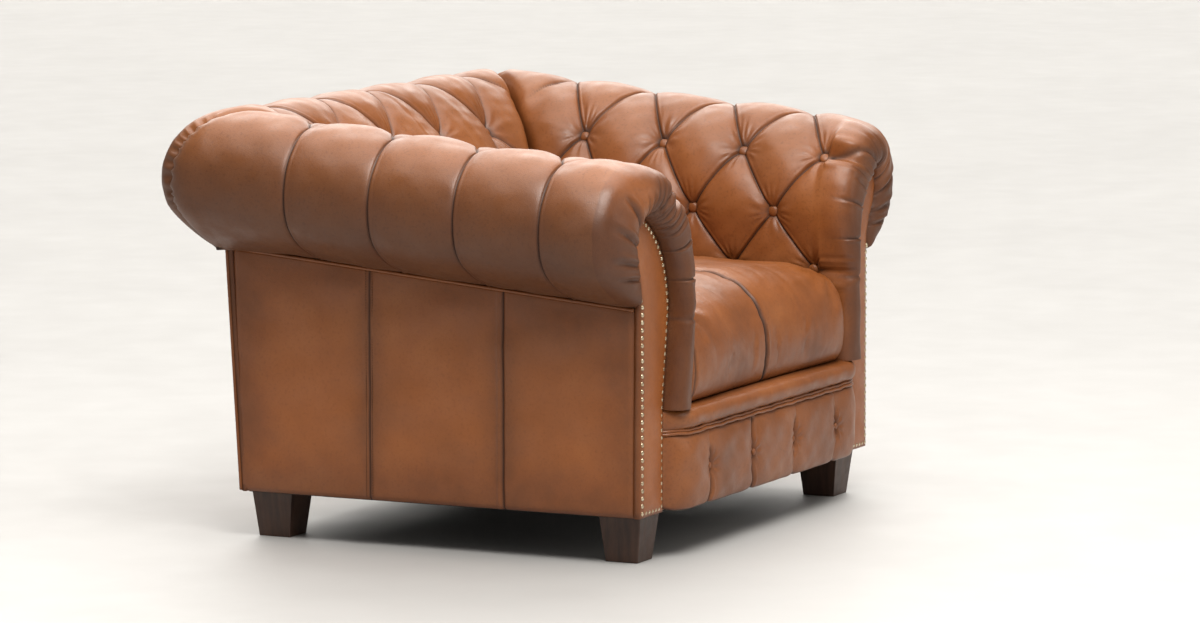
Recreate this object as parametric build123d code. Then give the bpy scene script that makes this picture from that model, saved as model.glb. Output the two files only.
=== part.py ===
from build123d import *
import math
import os

# Tufted leather armchair with rolled arms and back.
# Millimetres, +Z up, the front faces -Y. The origin is on the floor under the middle of the overall box.
# Left and right are as seen from the front, so left is -X.

# Body
body_width = 998.0
body_depth = 780.0
leg_height = 84.0
rail_height = 140.0
rail_thickness = 24.0
band_height = 38.0
panel_thickness = 12.0
back_rake = 26.0
front_pad = 40.0

# Rolls along the arms and the back
roll_radius = 118.0
arm_roll_overhang = 26.0
back_roll_overhang = 3.0
arm_roll_height = 568.0
back_roll_height = 640.0
roll_lip = 6.0
roll_seam_drop = 3.0

# Scroll shape of the front facings and of the frame boards behind them
scroll_radius = 47.0
scroll_waist = 93.0
scroll_belly = 118.0
scroll_belly_drop = 138.0
scroll_bulge = 38.0
facing_thickness = 10.0
board_thickness = 5.0
rib_thickness = 25.0
rib_setback = 45.0
post_inset = 20.0
base_rail_height = 34.0
roll_rail_width = 40.0

# Tufting
arm_thickness = 160.0
back_thickness = 190.0
arm_shoulder = 120.0
back_shoulder = 98.0
tuft_depth = 20.0
flute_depth = 11.0
arm_tuft_pitch = 163.0
arm_first_flute = 126.0
back_tuft_pitch = 190.0
low_row_height = 166.0
middle_row_height = 270.0
high_row_height = 363.0
back_row_lift = 21.0
shoulder_tilt = 39.0
notch_angle = 83.0
underside_angle = -20.0
row_puff = 8.0
high_row_puff = 12.0
shoulder_puff = 22.0
button_radius = 11.0
button_height = 9.0
well_depth = 6.0
well_clearance = 1.5
front_round = 24.0

# Seat
cushion_height = 196.0
cushion_edge_drop = 36.0
cushion_setback = 7.0
cushion_bulge = 20.0
cushion_nose_drop = 120.0
cushion_nose_round = 34.0
cushion_brow = 100.0
cushion_crown = 16.0
cushion_clearance = 5.0
cushion_cover_thickness = 3.0
cushion_end_round = 34.0
cushion_seam_depth = 5.0
cushion_seam_width = 8.0
spring_count = 5
spring_pitch = 140.0
spring_width = 56.0
spring_wire = 4.0
spring_bar_pitch = 46.0
spring_drop = 18.0
clip_depth = 12.0
clip_height = 14.0
clip_width = 20.0

# Front border and band
border_pleat_pitch = 183.5
border_puff = 14.0
border_pleat_width = 14.0
border_end_round = 48.0
border_button_radius = 9.0
welt_radius = 2.9

# Trim, legs and fastenings
nail_radius = 4.4
nail_height = 3.2
nail_pitch = 13.2
nail_tip = 14.0
nail_inset = 8.5
seam_width = 5.0
seam_depth = 3.0
dust_cover_thickness = 2.0
leg_top = 80.0
leg_foot = 61.0
leg_inset_side = 69.0
leg_inset_front = 52.0
leg_inset_rear = 48.0
block_leg = 120.0
block_height = 60.0
bolt_radius = 4.0
bolt_in_leg = 44.0
nut_flat = 13.0
nut_height = 6.5
bolt_end = 4.0

# Clearances
soft_gap = 0.3
bolt_gap = 0.1
leg_gap = 3.0

# Places worked out from the sizes above
half_width = body_width / 2
front_y = -(front_pad + body_depth + back_roll_overhang + roll_radius) / 2
face_y = front_y + front_pad
frame_y = face_y + facing_thickness
foot_y = face_y + body_depth
roll_x = half_width + arm_roll_overhang
roll_y = foot_y + back_roll_overhang
arm_slope = (back_roll_height - arm_roll_height) / (roll_y - face_y)
rail_top = leg_height + rail_height
deck_top = rail_top + band_height
frame_x = half_width - panel_thickness
side_rail_x = frame_x - rail_thickness
rear_rail_y = foot_y - panel_thickness - rail_thickness
waist_x = half_width - scroll_waist
waist_y = foot_y - scroll_waist
arm_inner_x = half_width - arm_thickness
back_inner_y = foot_y - back_thickness
back_top = back_roll_height - roll_radius - roll_seam_drop
rake_slope = back_rake / (back_top - leg_height)
border_top = rail_top - 2 * welt_radius - 2 * soft_gap
low_row = deck_top + low_row_height
middle_row = deck_top + middle_row_height
high_row = deck_top + high_row_height
back_high_row = back_roll_height + back_row_lift
row_slope = (back_high_row - high_row) / (roll_y - face_y)
tilt_out = math.cos(math.radians(shoulder_tilt))
tilt_up = math.sin(math.radians(shoulder_tilt))

parts = {}


def arm_roll_z(y):
    """Height of the arm roll's centre, which climbs towards the back."""
    return arm_roll_height + arm_slope * (y - face_y)


def arm_high_row(y):
    """Height of the arm's high row of buttons, which climbs to meet the back's high row."""
    return high_row + row_slope * (y - face_y)


def outside_back_y(z):
    """Raked outer face of the outside back."""
    return foot_y + rake_slope * (z - leg_height)


def block(x0, x1, y0, y1, z0, z1):
    return Pos((x0 + x1) / 2, (y0 + y1) / 2, (z0 + z1) / 2) * Solid.make_box(
        x1 - x0, y1 - y0, z1 - z0, Plane((-(x1 - x0) / 2, -(y1 - y0) / 2, -(z1 - z0) / 2))
    )


def flip(shape):
    return mirror(shape, about=Plane.YZ)


def both_sides(name, right):
    parts[name + "_right"] = right
    parts[name + "_left"] = flip(right)


def on_xz(y):
    """Turns a section point (across, up) into space, for sections that follow an arm."""
    return lambda a, z: (a, y, z)


def on_yz(x):
    """Turns a section point (across, up) into space, for sections that follow the back."""
    return lambda a, z: (x, a, z)


def arc_middle(p, q, rise):
    """Middle of an arc from p to q that rises to the left of the way from p to q."""
    length = math.dist(p, q)
    normal = (-(q[1] - p[1]) / length, (q[0] - p[0]) / length)
    return ((p[0] + q[0]) / 2 + rise * normal[0], (p[1] + q[1]) / 2 + rise * normal[1])


def outline(place, start, *legs):
    """Closed wire through section points. A leg is (end, rise), and rise 0 is a straight line."""
    edges = []
    point = start
    for end, rise in legs:
        if rise == 0:
            edges.append(Edge.make_line(place(*point), place(*end)))
        else:
            middle = arc_middle(point, end, rise)
            edges.append(Edge.make_three_point_arc(place(*point), place(*middle), place(*end)))
        point = end
    return Wire(edges)


def on_circle(centre, radius, degrees):
    turn = math.radians(degrees)
    return (centre[0] + radius * math.cos(turn), centre[1] + radius * math.sin(turn))


def arc_rise(radius, degrees):
    return radius * (1 - math.cos(math.radians(degrees) / 2))


def scroll_face(place, panel, lean, centre, foot_z):
    """Leaf-shaped scroll: straight outer edge, round head, bellied inner edge."""
    head_low = on_circle(centre, scroll_radius, -25)
    head_high = on_circle(centre, scroll_radius, 110)
    belly = (panel - scroll_belly, centre[1] - scroll_belly_drop)
    return Face(
        outline(
            place,
            (panel, foot_z),
            ((panel + lean, centre[1] - roll_radius), 0),
            (head_low, 0),
            (head_high, -arc_rise(scroll_radius, 135)),
            (belly, -scroll_bulge),
            ((panel - scroll_waist, deck_top), 0),
            ((panel - scroll_waist, foot_z), 0),
            ((panel, foot_z), 0),
        )
    )


def arm_scroll(inset):
    """Arm scroll in the facing plane, drawn deep so that a sloped run still reaches the frame's foot."""
    face = scroll_face(on_xz(face_y), half_width, 0, (roll_x, arm_roll_height), leg_height - roll_radius)
    return offset(face, -inset).faces()[0] if inset else face


def back_scroll(inset):
    face = scroll_face(on_yz(0), foot_y, back_rake, (roll_y, back_roll_height), leg_height)
    return offset(face, -inset).faces()[0] if inset else face


def arm_run(face, y0, y1):
    """Runs a scroll in the facing plane from y0 to y1 along the climbing arm."""
    climb = (0, y1 - y0, arm_slope * (y1 - y0))
    return Pos(0, y0 - face_y, arm_slope * (y0 - face_y)) * Solid.extrude(face, climb)


def back_run(face, x0, x1):
    return Pos(x0, 0, 0) * Solid.extrude(face, (x1 - x0, 0, 0))


def above(shape, z):
    return shape.split(Plane((0, 0, z)), keep=Keep.TOP)


def mitre(shape, gap, arm):
    """Cuts the right-hand rear corner at 45 degrees and keeps the arm's or the back's share."""
    side = 1 if arm else -1
    plane = Plane((roll_x + side * gap, roll_y, 0), z_dir=(side, -side, 0))
    kept = shape.split(plane, keep=Keep.TOP)
    return kept - block(roll_x, roll_x + body_width, roll_y, roll_y + body_depth, 0, body_width)


def rounded_corner(section, scroll, arm):
    """Turns the outer half of a roll round the rear corner, as far as the mitre."""
    inside = block(-body_width, roll_x, -body_depth, roll_y + body_depth, 0, body_width)
    if not arm:
        inside = block(-body_width, roll_x + body_width, -body_depth, roll_y, 0, body_width)
    half = (Face(section) - scroll) - inside
    turn = 45 if arm else -45
    return revolve(half, axis=Axis((roll_x, roll_y, 0), (0, 0, 1)), revolution_arc=turn)


# Seat frame
parts["front_seat_rail"] = block(-waist_x, waist_x, frame_y, frame_y + rail_thickness, leg_height, rail_top)
rear_rail = block(-frame_x, frame_x, rear_rail_y, rear_rail_y + rail_thickness, leg_height, rail_top)
parts["rear_seat_rail"] = rear_rail
both_sides(
    "side_seat_rail",
    block(side_rail_x, frame_x, frame_y + rail_thickness, rear_rail_y, leg_height, rail_top),
)

leg_x = half_width - leg_inset_side
leg_front_y = face_y + leg_inset_front
leg_rear_y = foot_y - leg_inset_rear
leg_places = [(x, y) for y in (leg_front_y, leg_rear_y) for x in (-leg_x, leg_x)]


def corner_block(side, corner_y, inward):
    """Triangular block glued in the corner between a side rail and a front or rear rail."""
    corner = (side * side_rail_x, corner_y)
    points = [corner, (corner[0] - side * block_leg, corner_y), (corner[0], corner_y + inward * block_leg)]
    wire = Wire.make_polygon([(x, y, leg_height) for x, y in points])
    return Solid.extrude(Face(wire), (0, 0, block_height))


blocks = []
for side in (-1, 1):
    blocks.append(corner_block(side, frame_y + rail_thickness, 1))
    blocks.append(corner_block(side, rear_rail_y, -1))
hole = Solid.make_cylinder(bolt_radius + bolt_gap, bolt_in_leg + block_height)
holes = [Pos(x, y, leg_height - bolt_in_leg) * hole for x, y in leg_places]
parts["corner_blocks"] = Compound([b.cut(*holes) for b in blocks])

# Arm frame
stump = arm_run(arm_scroll(soft_gap), frame_y, frame_y + rail_thickness)
stump_rear_y = frame_y + rail_thickness
panel_slot = block(frame_x, body_width, front_y, foot_y, 0, arm_roll_z(stump_rear_y) - roll_radius)
both_sides("arm_stump", above(stump - panel_slot, leg_height))

base_x = waist_x + soft_gap + board_thickness
base_y = waist_y + soft_gap + board_thickness
base_top = rail_top + base_rail_height
both_sides("arm_base_rail", block(base_x, frame_x, stump_rear_y, waist_y, rail_top, base_top))
rib_y = back_inner_y - rib_setback
rib_profile = arm_scroll(2 * soft_gap + board_thickness)
rib = arm_run(rib_profile, rib_y, rib_y + rib_thickness)
rib_slot = block(frame_x, body_width, front_y, foot_y, 0, arm_roll_z(rib_y) - roll_radius)
both_sides("arm_rib", above(rib - rib_slot, base_top))

rail_reach = scroll_radius - board_thickness - 2 * soft_gap
roll_rail_rise = math.sqrt(rail_reach**2 - (roll_rail_width / 2) ** 2)


def roll_rail_face(place, centre, open_top=0):
    """Square rail under the head of a scroll. A notch for it is drawn with an open top."""
    left = centre[0] - roll_rail_width / 2
    right = centre[0] + roll_rail_width / 2
    low = centre[1] + roll_rail_rise - roll_rail_width
    high = low + roll_rail_width + open_top
    corners = [((right, low), 0), ((right, high), 0), ((left, high), 0), ((left, low), 0)]
    return Face(outline(place, (left, low), *corners))


arm_rail = roll_rail_face(on_xz(face_y), (roll_x, arm_roll_height))
both_sides("arm_roll_rail", arm_run(arm_rail, stump_rear_y, rib_y))


def bent_board(run, scroll):
    """Thin board bent round the scroll, open along the outer panel."""
    return run(scroll(soft_gap)) - run(scroll(soft_gap + board_thickness))


arm_board = bent_board(lambda face: arm_run(face, stump_rear_y, foot_y + roll_radius), arm_scroll)
board_slot_face = Face(
    outline(
        on_xz(face_y),
        (frame_x - panel_thickness, -roll_radius),
        ((body_width, -roll_radius), 0),
        ((body_width, arm_roll_height - roll_radius), 0),
        ((frame_x - panel_thickness, arm_roll_height - roll_radius), 0),
        ((frame_x - panel_thickness, -roll_radius), 0),
    )
)
arm_board = arm_board - arm_run(board_slot_face, stump_rear_y, foot_y + roll_radius)
both_sides("arm_board", mitre(above(arm_board, rail_top), soft_gap, True))

# Back frame
parts["back_base_rail"] = block(-frame_x, frame_x, base_y, rear_rail_y + rail_thickness, rail_top, base_top)
back_slot = Solid.extrude(
    Face(
        Wire.make_polygon(
            [
                (0, outside_back_y(leg_height) - panel_thickness, leg_height),
                (0, foot_y + body_depth, leg_height),
                (0, foot_y + body_depth, back_top),
                (0, outside_back_y(back_top) - panel_thickness, back_top),
            ]
        )
    ),
    (2 * body_width, 0, 0),
)
back_slot = Pos(-body_width, 0, 0) * back_slot
post = back_run(back_scroll(post_inset), side_rail_x, frame_x)
both_sides("back_post", above(post - back_slot, base_top))
back_centre = (roll_y, back_roll_height)
parts["back_roll_rail"] = back_run(roll_rail_face(on_yz(0), back_centre), -side_rail_x, side_rail_x)
rail_notch = back_run(roll_rail_face(on_yz(0), back_centre, scroll_radius), -side_rail_x, side_rail_x)
rib_step = 1.5 * back_tuft_pitch
back_rib_profile = back_scroll(2 * soft_gap + board_thickness)
back_ribs = []
for x in (-rib_step, 0, rib_step):
    back_rib = back_run(back_rib_profile, x - rib_thickness / 2, x + rib_thickness / 2)
    back_ribs.append(above(back_rib - back_slot, base_top) - rail_notch)
parts["back_ribs"] = Compound(back_ribs)
board_slot = Pos(0, -panel_thickness, 0) * back_slot
board_length = 2 * (roll_x + roll_radius)
back_board = bent_board(lambda face: back_run(face, -board_length / 2, board_length / 2), back_scroll)
back_board = mitre(above(back_board - board_slot, rail_top), soft_gap, False)
parts["back_board"] = flip(mitre(flip(back_board), soft_gap, False))

# Seat suspension
spring_top = rail_top - spring_drop
spring_y0 = frame_y + rail_thickness + spring_wire
spring_y1 = rear_rail_y - spring_wire
bar_count = round((spring_y1 - spring_y0) / spring_bar_pitch)
bar_step = (spring_y1 - spring_y0 - spring_wire) / bar_count


def sinuous_spring(x):
    """Flat spring that winds from side to side, with a straight bar at each end."""
    low = spring_top - spring_wire
    reach = (spring_width - spring_wire) / 2
    x0 = x - spring_width / 2
    x1 = x + spring_width / 2
    wire = block(x0, x1, spring_y0, spring_y0 + spring_wire, low, spring_top)
    pieces = []
    for i in range(bar_count):
        bar_y = spring_y0 + i * bar_step
        side = reach if i % 2 else -reach
        left = x + side - spring_wire / 2
        pieces.append(block(left, left + spring_wire, bar_y, bar_y + bar_step + spring_wire, low, spring_top))
        next_y = bar_y + bar_step
        pieces.append(block(x0, x1, next_y, next_y + spring_wire, low, spring_top))
    return wire.fuse(*pieces)


spring_places = [(i - (spring_count - 1) / 2) * spring_pitch for i in range(spring_count)]
parts["seat_springs"] = Compound([sinuous_spring(x) for x in spring_places])
clips = []
for x in spring_places:
    for wall_y, inward in ((frame_y + rail_thickness, 1), (rear_rail_y, -1)):
        y0, y1 = sorted((wall_y, wall_y + inward * clip_depth))
        middle = spring_top - spring_wire / 2
        low = middle - clip_height / 2
        clip = block(x - clip_width / 2, x + clip_width / 2, y0, y1, low, low + clip_height)
        slot_y0, slot_y1 = sorted((wall_y + inward * (spring_wire - soft_gap), wall_y + inward * clip_depth))
        slot = block(
            x - spring_width, x + spring_width, slot_y0, slot_y1,
            spring_top - spring_wire - soft_gap, spring_top + soft_gap,
        )
        clips.append(clip - slot)
parts["spring_clips"] = Compound(clips)
parts["seat_deck"] = block(
    -waist_x + soft_gap,
    waist_x - soft_gap,
    frame_y + rail_thickness + clip_depth + soft_gap,
    waist_y - soft_gap,
    spring_top + soft_gap,
    deck_top,
)


# Tufted pads
def pad_section(place, inner, panel, centre, shoulder, high_z, sunk, inset):
    """Section of a pad from the seat deck up the inside, over the roll and back to the outer panel.

    Sunk is 1 where the low and high rows are drawn in, 0 where the middle row and the roll's flute are.
    """
    low_in = inner + inset + tuft_depth * sunk
    middle_in = inner + inset + tuft_depth * (1 - sunk)
    swell = tuft_depth * (1 - sunk) - inset
    high = (centre[0] - shoulder - tilt_out * swell, high_z + tilt_up * swell)
    radius = roll_radius - inset - flute_depth * (1 - sunk)
    lip_z = centre[1] - roll_radius
    core = panel - scroll_waist / 2
    return outline(
        place,
        (inner + inset + tuft_depth / 2, deck_top),
        ((low_in, low_row), row_puff),
        ((middle_in, middle_row), row_puff),
        (high, high_row_puff),
        (on_circle(centre, radius, notch_angle), shoulder_puff),
        (on_circle(centre, radius, underside_angle), arc_rise(radius, notch_angle - underside_angle)),
        ((panel + roll_lip, lip_z), 0),
        ((core, lip_z), 0),
        ((core, deck_top), 0),
        ((inner + inset + tuft_depth / 2, deck_top), 0),
    )


def button_plane(point, direction):
    """Plane at the bottom of a button's well, facing out of the pad."""
    base = Vector(*point) - Vector(*direction).normalized() * well_depth
    return Plane(base, z_dir=direction)


def ring(plane, radius, sides):
    """Regular polygon round a plane's origin."""
    corners = [on_circle((0, 0), radius, 360 / sides * i) for i in range(sides)]
    return Wire.make_polygon([plane.from_local_coords((a, b, 0)) for a, b in corners])


def tuft_button(plane, radius):
    """Covered button: a straight rim under a low crown."""
    rim = plane.offset(button_height / 2)
    crown = plane.offset(button_height)
    rings = [ring(plane, radius, 8), ring(rim, radius, 8), ring(crown, radius / 2, 8)]
    return Solid.make_loft(rings, ruled=True)


def well(plane, radius):
    """Space cleared in a pad round a button."""
    return Solid.extrude(Face(ring(plane, radius + well_clearance, 8)), plane.z_dir * 4 * tuft_depth)


arm_section_ys = [(front_y, 1, front_round), (front_y + front_round / 3, 1, front_round / 3), (face_y, 1, 0)]
first_button_y = face_y + arm_first_flute - arm_tuft_pitch / 2
arm_station_count = round((roll_y - first_button_y) / (arm_tuft_pitch / 2))
for i in range(arm_station_count):
    arm_section_ys.append((first_button_y + i * arm_tuft_pitch / 2, 1 - i % 2, 0))
arm_section_ys.append((roll_y, 1, 0))


def arm_section(y, sunk, inset):
    centre = (roll_x, arm_roll_z(y))
    high_z = arm_high_row(y)
    return pad_section(on_xz(y), arm_inner_x, half_width, centre, arm_shoulder, high_z, sunk, inset)


arm_pad = Solid.make_loft([arm_section(*station) for station in arm_section_ys], ruled=True)
arm_pad = arm_pad - arm_run(arm_scroll(0), front_y - front_pad, foot_y + 2 * roll_radius)
arm_end_scroll = Pos(0, roll_y - face_y, arm_slope * (roll_y - face_y)) * arm_scroll(0)
arm_pad = mitre(arm_pad, soft_gap, True) + rounded_corner(arm_section(roll_y, 1, 0), arm_end_scroll, True)

arm_button_planes = []
inside_corner_y = roll_y - (roll_x - arm_inner_x)
for i in range(arm_station_count):
    y = first_button_y + i * arm_tuft_pitch / 2
    if y > inside_corner_y - 2 * button_radius:
        break
    if i % 2:
        arm_button_planes.append(button_plane((arm_inner_x + tuft_depth, y, middle_row), (-1, 0, 0)))
    else:
        arm_button_planes.append(button_plane((arm_inner_x + tuft_depth, y, low_row), (-1, 0, 0)))
        high = (roll_x - arm_shoulder, y, arm_high_row(y))
        arm_button_planes.append(button_plane(high, (-tilt_out, 0, tilt_up)))
both_sides("arm_pad", arm_pad.cut(*[well(plane, button_radius) for plane in arm_button_planes]))
both_sides("arm_buttons", Compound([tuft_button(plane, button_radius) for plane in arm_button_planes]))

back_half_steps = round(roll_x / (back_tuft_pitch / 2)) - 1
back_steps = range(-back_half_steps, back_half_steps + 1)


def back_section(x, sunk):
    panel = foot_y + back_rake
    return pad_section(on_yz(x), back_inner_y, panel, back_centre, back_shoulder, back_high_row, sunk, 0)


back_stations = [(step * back_tuft_pitch / 2, step % 2) for step in back_steps]
back_stations = [(-roll_x, 1)] + back_stations + [(roll_x, 1)]
back_pad = Solid.make_loft([back_section(*station) for station in back_stations], ruled=True)
back_pad = back_pad - back_run(back_scroll(0), -body_width, body_width)
back_corner = rounded_corner(back_section(roll_x, 1), Pos(roll_x, 0, 0) * back_scroll(0), False)
for _ in range(2):
    back_pad = flip(mitre(back_pad, soft_gap, False) + back_corner)
back_button_planes = []
for step in back_steps:
    x = step * back_tuft_pitch / 2
    if abs(x) > arm_inner_x - 2 * button_radius:
        continue
    if step % 2:
        back_button_planes.append(button_plane((x, back_inner_y + tuft_depth, low_row), (0, -1, 0)))
        high = (x, roll_y - back_shoulder, back_high_row)
        back_button_planes.append(button_plane(high, (0, -tilt_out, tilt_up)))
    else:
        back_button_planes.append(button_plane((x, back_inner_y + tuft_depth, middle_row), (0, -1, 0)))
parts["back_pad"] = back_pad.cut(*[well(plane, button_radius) for plane in back_button_planes])
parts["back_buttons"] = Compound([tuft_button(plane, button_radius) for plane in back_button_planes])


# Loose seat cushion: a crowned cover with a sewn seam down the middle, round a foam core
def cushion_section(x, drop, draw, inset):
    """Section along the cushion's depth: drop lowers the crown, draw pulls in the front and the rear."""
    low = deck_top + soft_gap + inset
    high = deck_top + cushion_height - drop - inset
    front = face_y + cushion_setback + draw + inset
    rear = back_inner_y - cushion_clearance - draw - inset
    nose = (front - cushion_bulge, high - cushion_nose_drop)
    brow = (front + cushion_brow, high - cushion_crown / 2)
    return outline(
        on_yz(x),
        (rear, low),
        ((front, low), 0),
        (nose, cushion_bulge / 2),
        (brow, cushion_nose_round),
        ((rear, high - cushion_edge_drop), cushion_crown),
        ((rear, low), 0),
    )


cushion_half = arm_inner_x - cushion_clearance


def cushion_solid(inset):
    end = cushion_half - inset
    inner_end = cushion_half - cushion_end_round
    seam = cushion_seam_width / 2
    half = [
        (-end, cushion_edge_drop, cushion_bulge / 2),
        (-end + cushion_end_round / 4, cushion_edge_drop * 0.7, cushion_bulge / 8),
        (-inner_end, cushion_edge_drop * 0.45, 0),
        (-inner_end / 2, cushion_edge_drop * 0.1, 0),
        (-seam, 0, 0),
    ]
    middle = [(0, cushion_seam_depth, cushion_seam_depth)]
    stations = half + middle + [(-x, drop, draw) for x, drop, draw in reversed(half)]
    return Solid.make_loft([cushion_section(*station, inset) for station in stations], ruled=True)


cushion = cushion_solid(0)
parts["seat_cushion_cover"] = cushion - cushion_solid(cushion_cover_thickness)
parts["seat_cushion_core"] = cushion_solid(cushion_cover_thickness + soft_gap)


# Outside panels
def panel_seam(y):
    """V-shaped groove of a sewn seam, cut up the outside arm panel."""
    outside = half_width + seam_depth
    points = [(half_width - seam_depth, y), (outside, y - seam_width), (outside, y + seam_width)]
    wire = Wire.make_polygon([(px, py, 0) for px, py in points])
    return Solid.extrude(Face(wire), (0, 0, back_roll_height))


def panel_top(y):
    return arm_roll_z(y) - roll_radius - roll_seam_drop


panel_rear = outside_back_y(leg_height) - panel_thickness
panel_rear_top = outside_back_y(panel_top(foot_y)) - panel_thickness
panel_wire = Wire.make_polygon(
    [
        (frame_x, frame_y, leg_height),
        (frame_x, panel_rear, leg_height),
        (frame_x, panel_rear_top, panel_top(panel_rear_top)),
        (frame_x, frame_y, panel_top(frame_y)),
    ]
)
arm_panel = Solid.extrude(Face(panel_wire), (panel_thickness, 0, 0))
seam_step = body_depth / 3
arm_panel = arm_panel.cut(*[panel_seam(face_y + i * seam_step) for i in (1, 2)])
both_sides("outside_arm_panel", arm_panel)

back_panel_wire = Wire.make_polygon(
    [
        (-half_width, outside_back_y(leg_height) - panel_thickness, leg_height),
        (-half_width, outside_back_y(leg_height), leg_height),
        (-half_width, outside_back_y(back_top), back_top),
        (-half_width, outside_back_y(back_top) - panel_thickness, back_top),
    ]
)
parts["outside_back_panel"] = Solid.extrude(Face(back_panel_wire), (body_width, 0, 0))

# Front facings with their nailheads
facing = arm_run(arm_scroll(soft_gap), face_y, frame_y)
both_sides("front_facing", above(facing, leg_height))


def nail_places():
    """Evenly spaced points round the facing, a little inside its edge, but not where the roll laps over it."""
    face = scroll_face(on_xz(face_y), half_width, 0, (roll_x, arm_roll_height), leg_height)
    rim = offset(face, -nail_inset).faces()[0].outer_wire()
    count = round(rim.length / nail_pitch)
    places = [rim.position_at(i / count) for i in range(count)]
    lap_z = arm_roll_height - roll_radius
    return [place for place in places if place.Z < lap_z or place.X < roll_x - nail_tip]


def nail_dome(place):
    """Low six-sided dome that stands on the facing."""
    seat = Plane((place.X, face_y, place.Z), x_dir=(1, 0, 0), z_dir=(0, -1, 0))
    rings = [ring(seat, nail_radius, 6), ring(seat.offset(nail_height), nail_radius / 2, 6)]
    return Solid.make_loft(rings, ruled=True)


both_sides("nailheads", Compound([nail_dome(place) for place in nail_places()]))


# Front border over the seat rail, with sewn pleats
def border_section(x, puff, back_off):
    low = leg_height
    edge = front_y + border_puff + back_off
    return outline(
        on_yz(x),
        (frame_y, low),
        ((edge, low), 0),
        ((edge, border_top), puff),
        ((frame_y, border_top), 0),
        ((frame_y, low), 0),
    )


border_end = waist_x - soft_gap
pleats = [(i - 1.5) * border_pleat_pitch for i in range(4)]
border_tail = front_pad - border_puff
border_full = border_puff * 0.8
border_low = border_puff / 4
border_stations = [(-border_end, border_low, border_tail), (-border_end + border_end_round, border_full, 0)]
for pleat in pleats:
    border_stations.append((pleat - border_pleat_width, border_full, 0))
    border_stations.append((pleat, border_low, 0))
    border_stations.append((pleat + border_pleat_width, border_full, 0))
border_stations.append((border_end - border_end_round, border_full, 0))
border_stations.append((border_end, border_low, border_tail))
border = Solid.make_loft([border_section(*station) for station in border_stations], ruled=True)
border_button_y = front_y + border_puff * 3 / 4
border_middle = (leg_height + border_top) / 2
border_planes = [button_plane((x, border_button_y, border_middle), (0, -1, 0)) for x in pleats]
parts["front_border"] = border.cut(*[well(plane, border_button_radius) for plane in border_planes])
parts["border_buttons"] = Compound([tuft_button(plane, border_button_radius) for plane in border_planes])


def band_section(x, back_off):
    edge = front_y + border_puff / 2 + back_off
    rear = frame_y + rail_thickness
    return outline(
        on_yz(x),
        (rear, rail_top),
        ((edge, rail_top), 0),
        ((edge, deck_top), border_puff / 2),
        ((rear, deck_top), 0),
        ((rear, rail_top), 0),
    )


band_stations = [
    (-border_end, border_tail),
    (-border_end + border_end_round, 0),
    (border_end - border_end_round, 0),
    (border_end, border_tail),
]
parts["front_band"] = Solid.make_loft([band_section(*station) for station in band_stations], ruled=True)

# Piping
welt_length = 2 * (border_end - border_end_round)
welt_z = rail_top - welt_radius - soft_gap
front_welts = []
for row in (0, 1):
    welt_y = front_y + border_puff + 2 * welt_radius + row * (2 * welt_radius + soft_gap)
    start = Plane((-welt_length / 2, welt_y, welt_z), z_dir=(1, 0, 0))
    front_welts.append(Solid.make_cylinder(welt_radius, welt_length, start))
parts["front_welt"] = Compound(front_welts)

welt_start = Vector(half_width + welt_radius + bolt_gap, frame_y, panel_top(frame_y) - roll_seam_drop)
welt_way = Vector(0, panel_rear_top - frame_y, arm_slope * (panel_rear_top - frame_y))
arm_welt = Solid.make_cylinder(welt_radius, welt_way.length, Plane(welt_start, z_dir=welt_way))
both_sides("arm_welt", arm_welt)
back_welt_z = back_top - roll_seam_drop
back_welt_y = outside_back_y(back_welt_z) + welt_radius + bolt_gap
back_welt_start = Plane((-half_width, back_welt_y, back_welt_z), z_dir=(1, 0, 0))
parts["back_welt"] = Solid.make_cylinder(welt_radius, body_width, back_welt_start)

# Dust cover, cut round the legs
dust_cover = block(
    -frame_x, frame_x, frame_y, rear_rail_y + rail_thickness, leg_height - dust_cover_thickness, leg_height
)
leg_reach = leg_top / 2 + leg_gap
for x, y in leg_places:
    dust_cover = dust_cover - block(x - leg_reach, x + leg_reach, y - leg_reach, y + leg_reach, 0, rail_top)
parts["dust_cover"] = dust_cover


# Legs with their bolts and nuts
def square(x, y, width, z):
    half = width / 2
    corners = [(-half, -half), (half, -half), (half, half), (-half, half)]
    return Wire.make_polygon([(x + a, y + b, z) for a, b in corners])


leg_names = ("leg_front_left", "leg_front_right", "leg_rear_left", "leg_rear_right")
bolts = []
nuts = []
nut_z = leg_height + block_height
for name, (x, y), hole in zip(leg_names, leg_places, holes):
    leg = Solid.make_loft([square(x, y, leg_foot, 0), square(x, y, leg_top, leg_height)], ruled=True)
    parts[name] = leg - hole
    bolt_length = bolt_in_leg + block_height + nut_height + bolt_end
    bolts.append(Pos(x, y, leg_height - bolt_in_leg) * Solid.make_cylinder(bolt_radius, bolt_length))
    nut_wire = Wire.make_polygon(
        [(*on_circle((x, y), nut_flat / 2 / math.cos(math.pi / 6), 60 * i), nut_z) for i in range(6)]
    )
    nut = Solid.extrude(Face(nut_wire), (0, 0, nut_height))
    nuts.append(nut - Pos(x, y, nut_z) * Solid.make_cylinder(bolt_radius + bolt_gap, nut_height))
parts["leg_bolts"] = Compound(bolts)
parts["leg_nuts"] = Compound(nuts)

os.makedirs("parts", exist_ok=True)
for name, shape in parts.items():
    export_step(shape, f"parts/{name}.step")
print(len(parts), "parts written")
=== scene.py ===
import math

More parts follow.
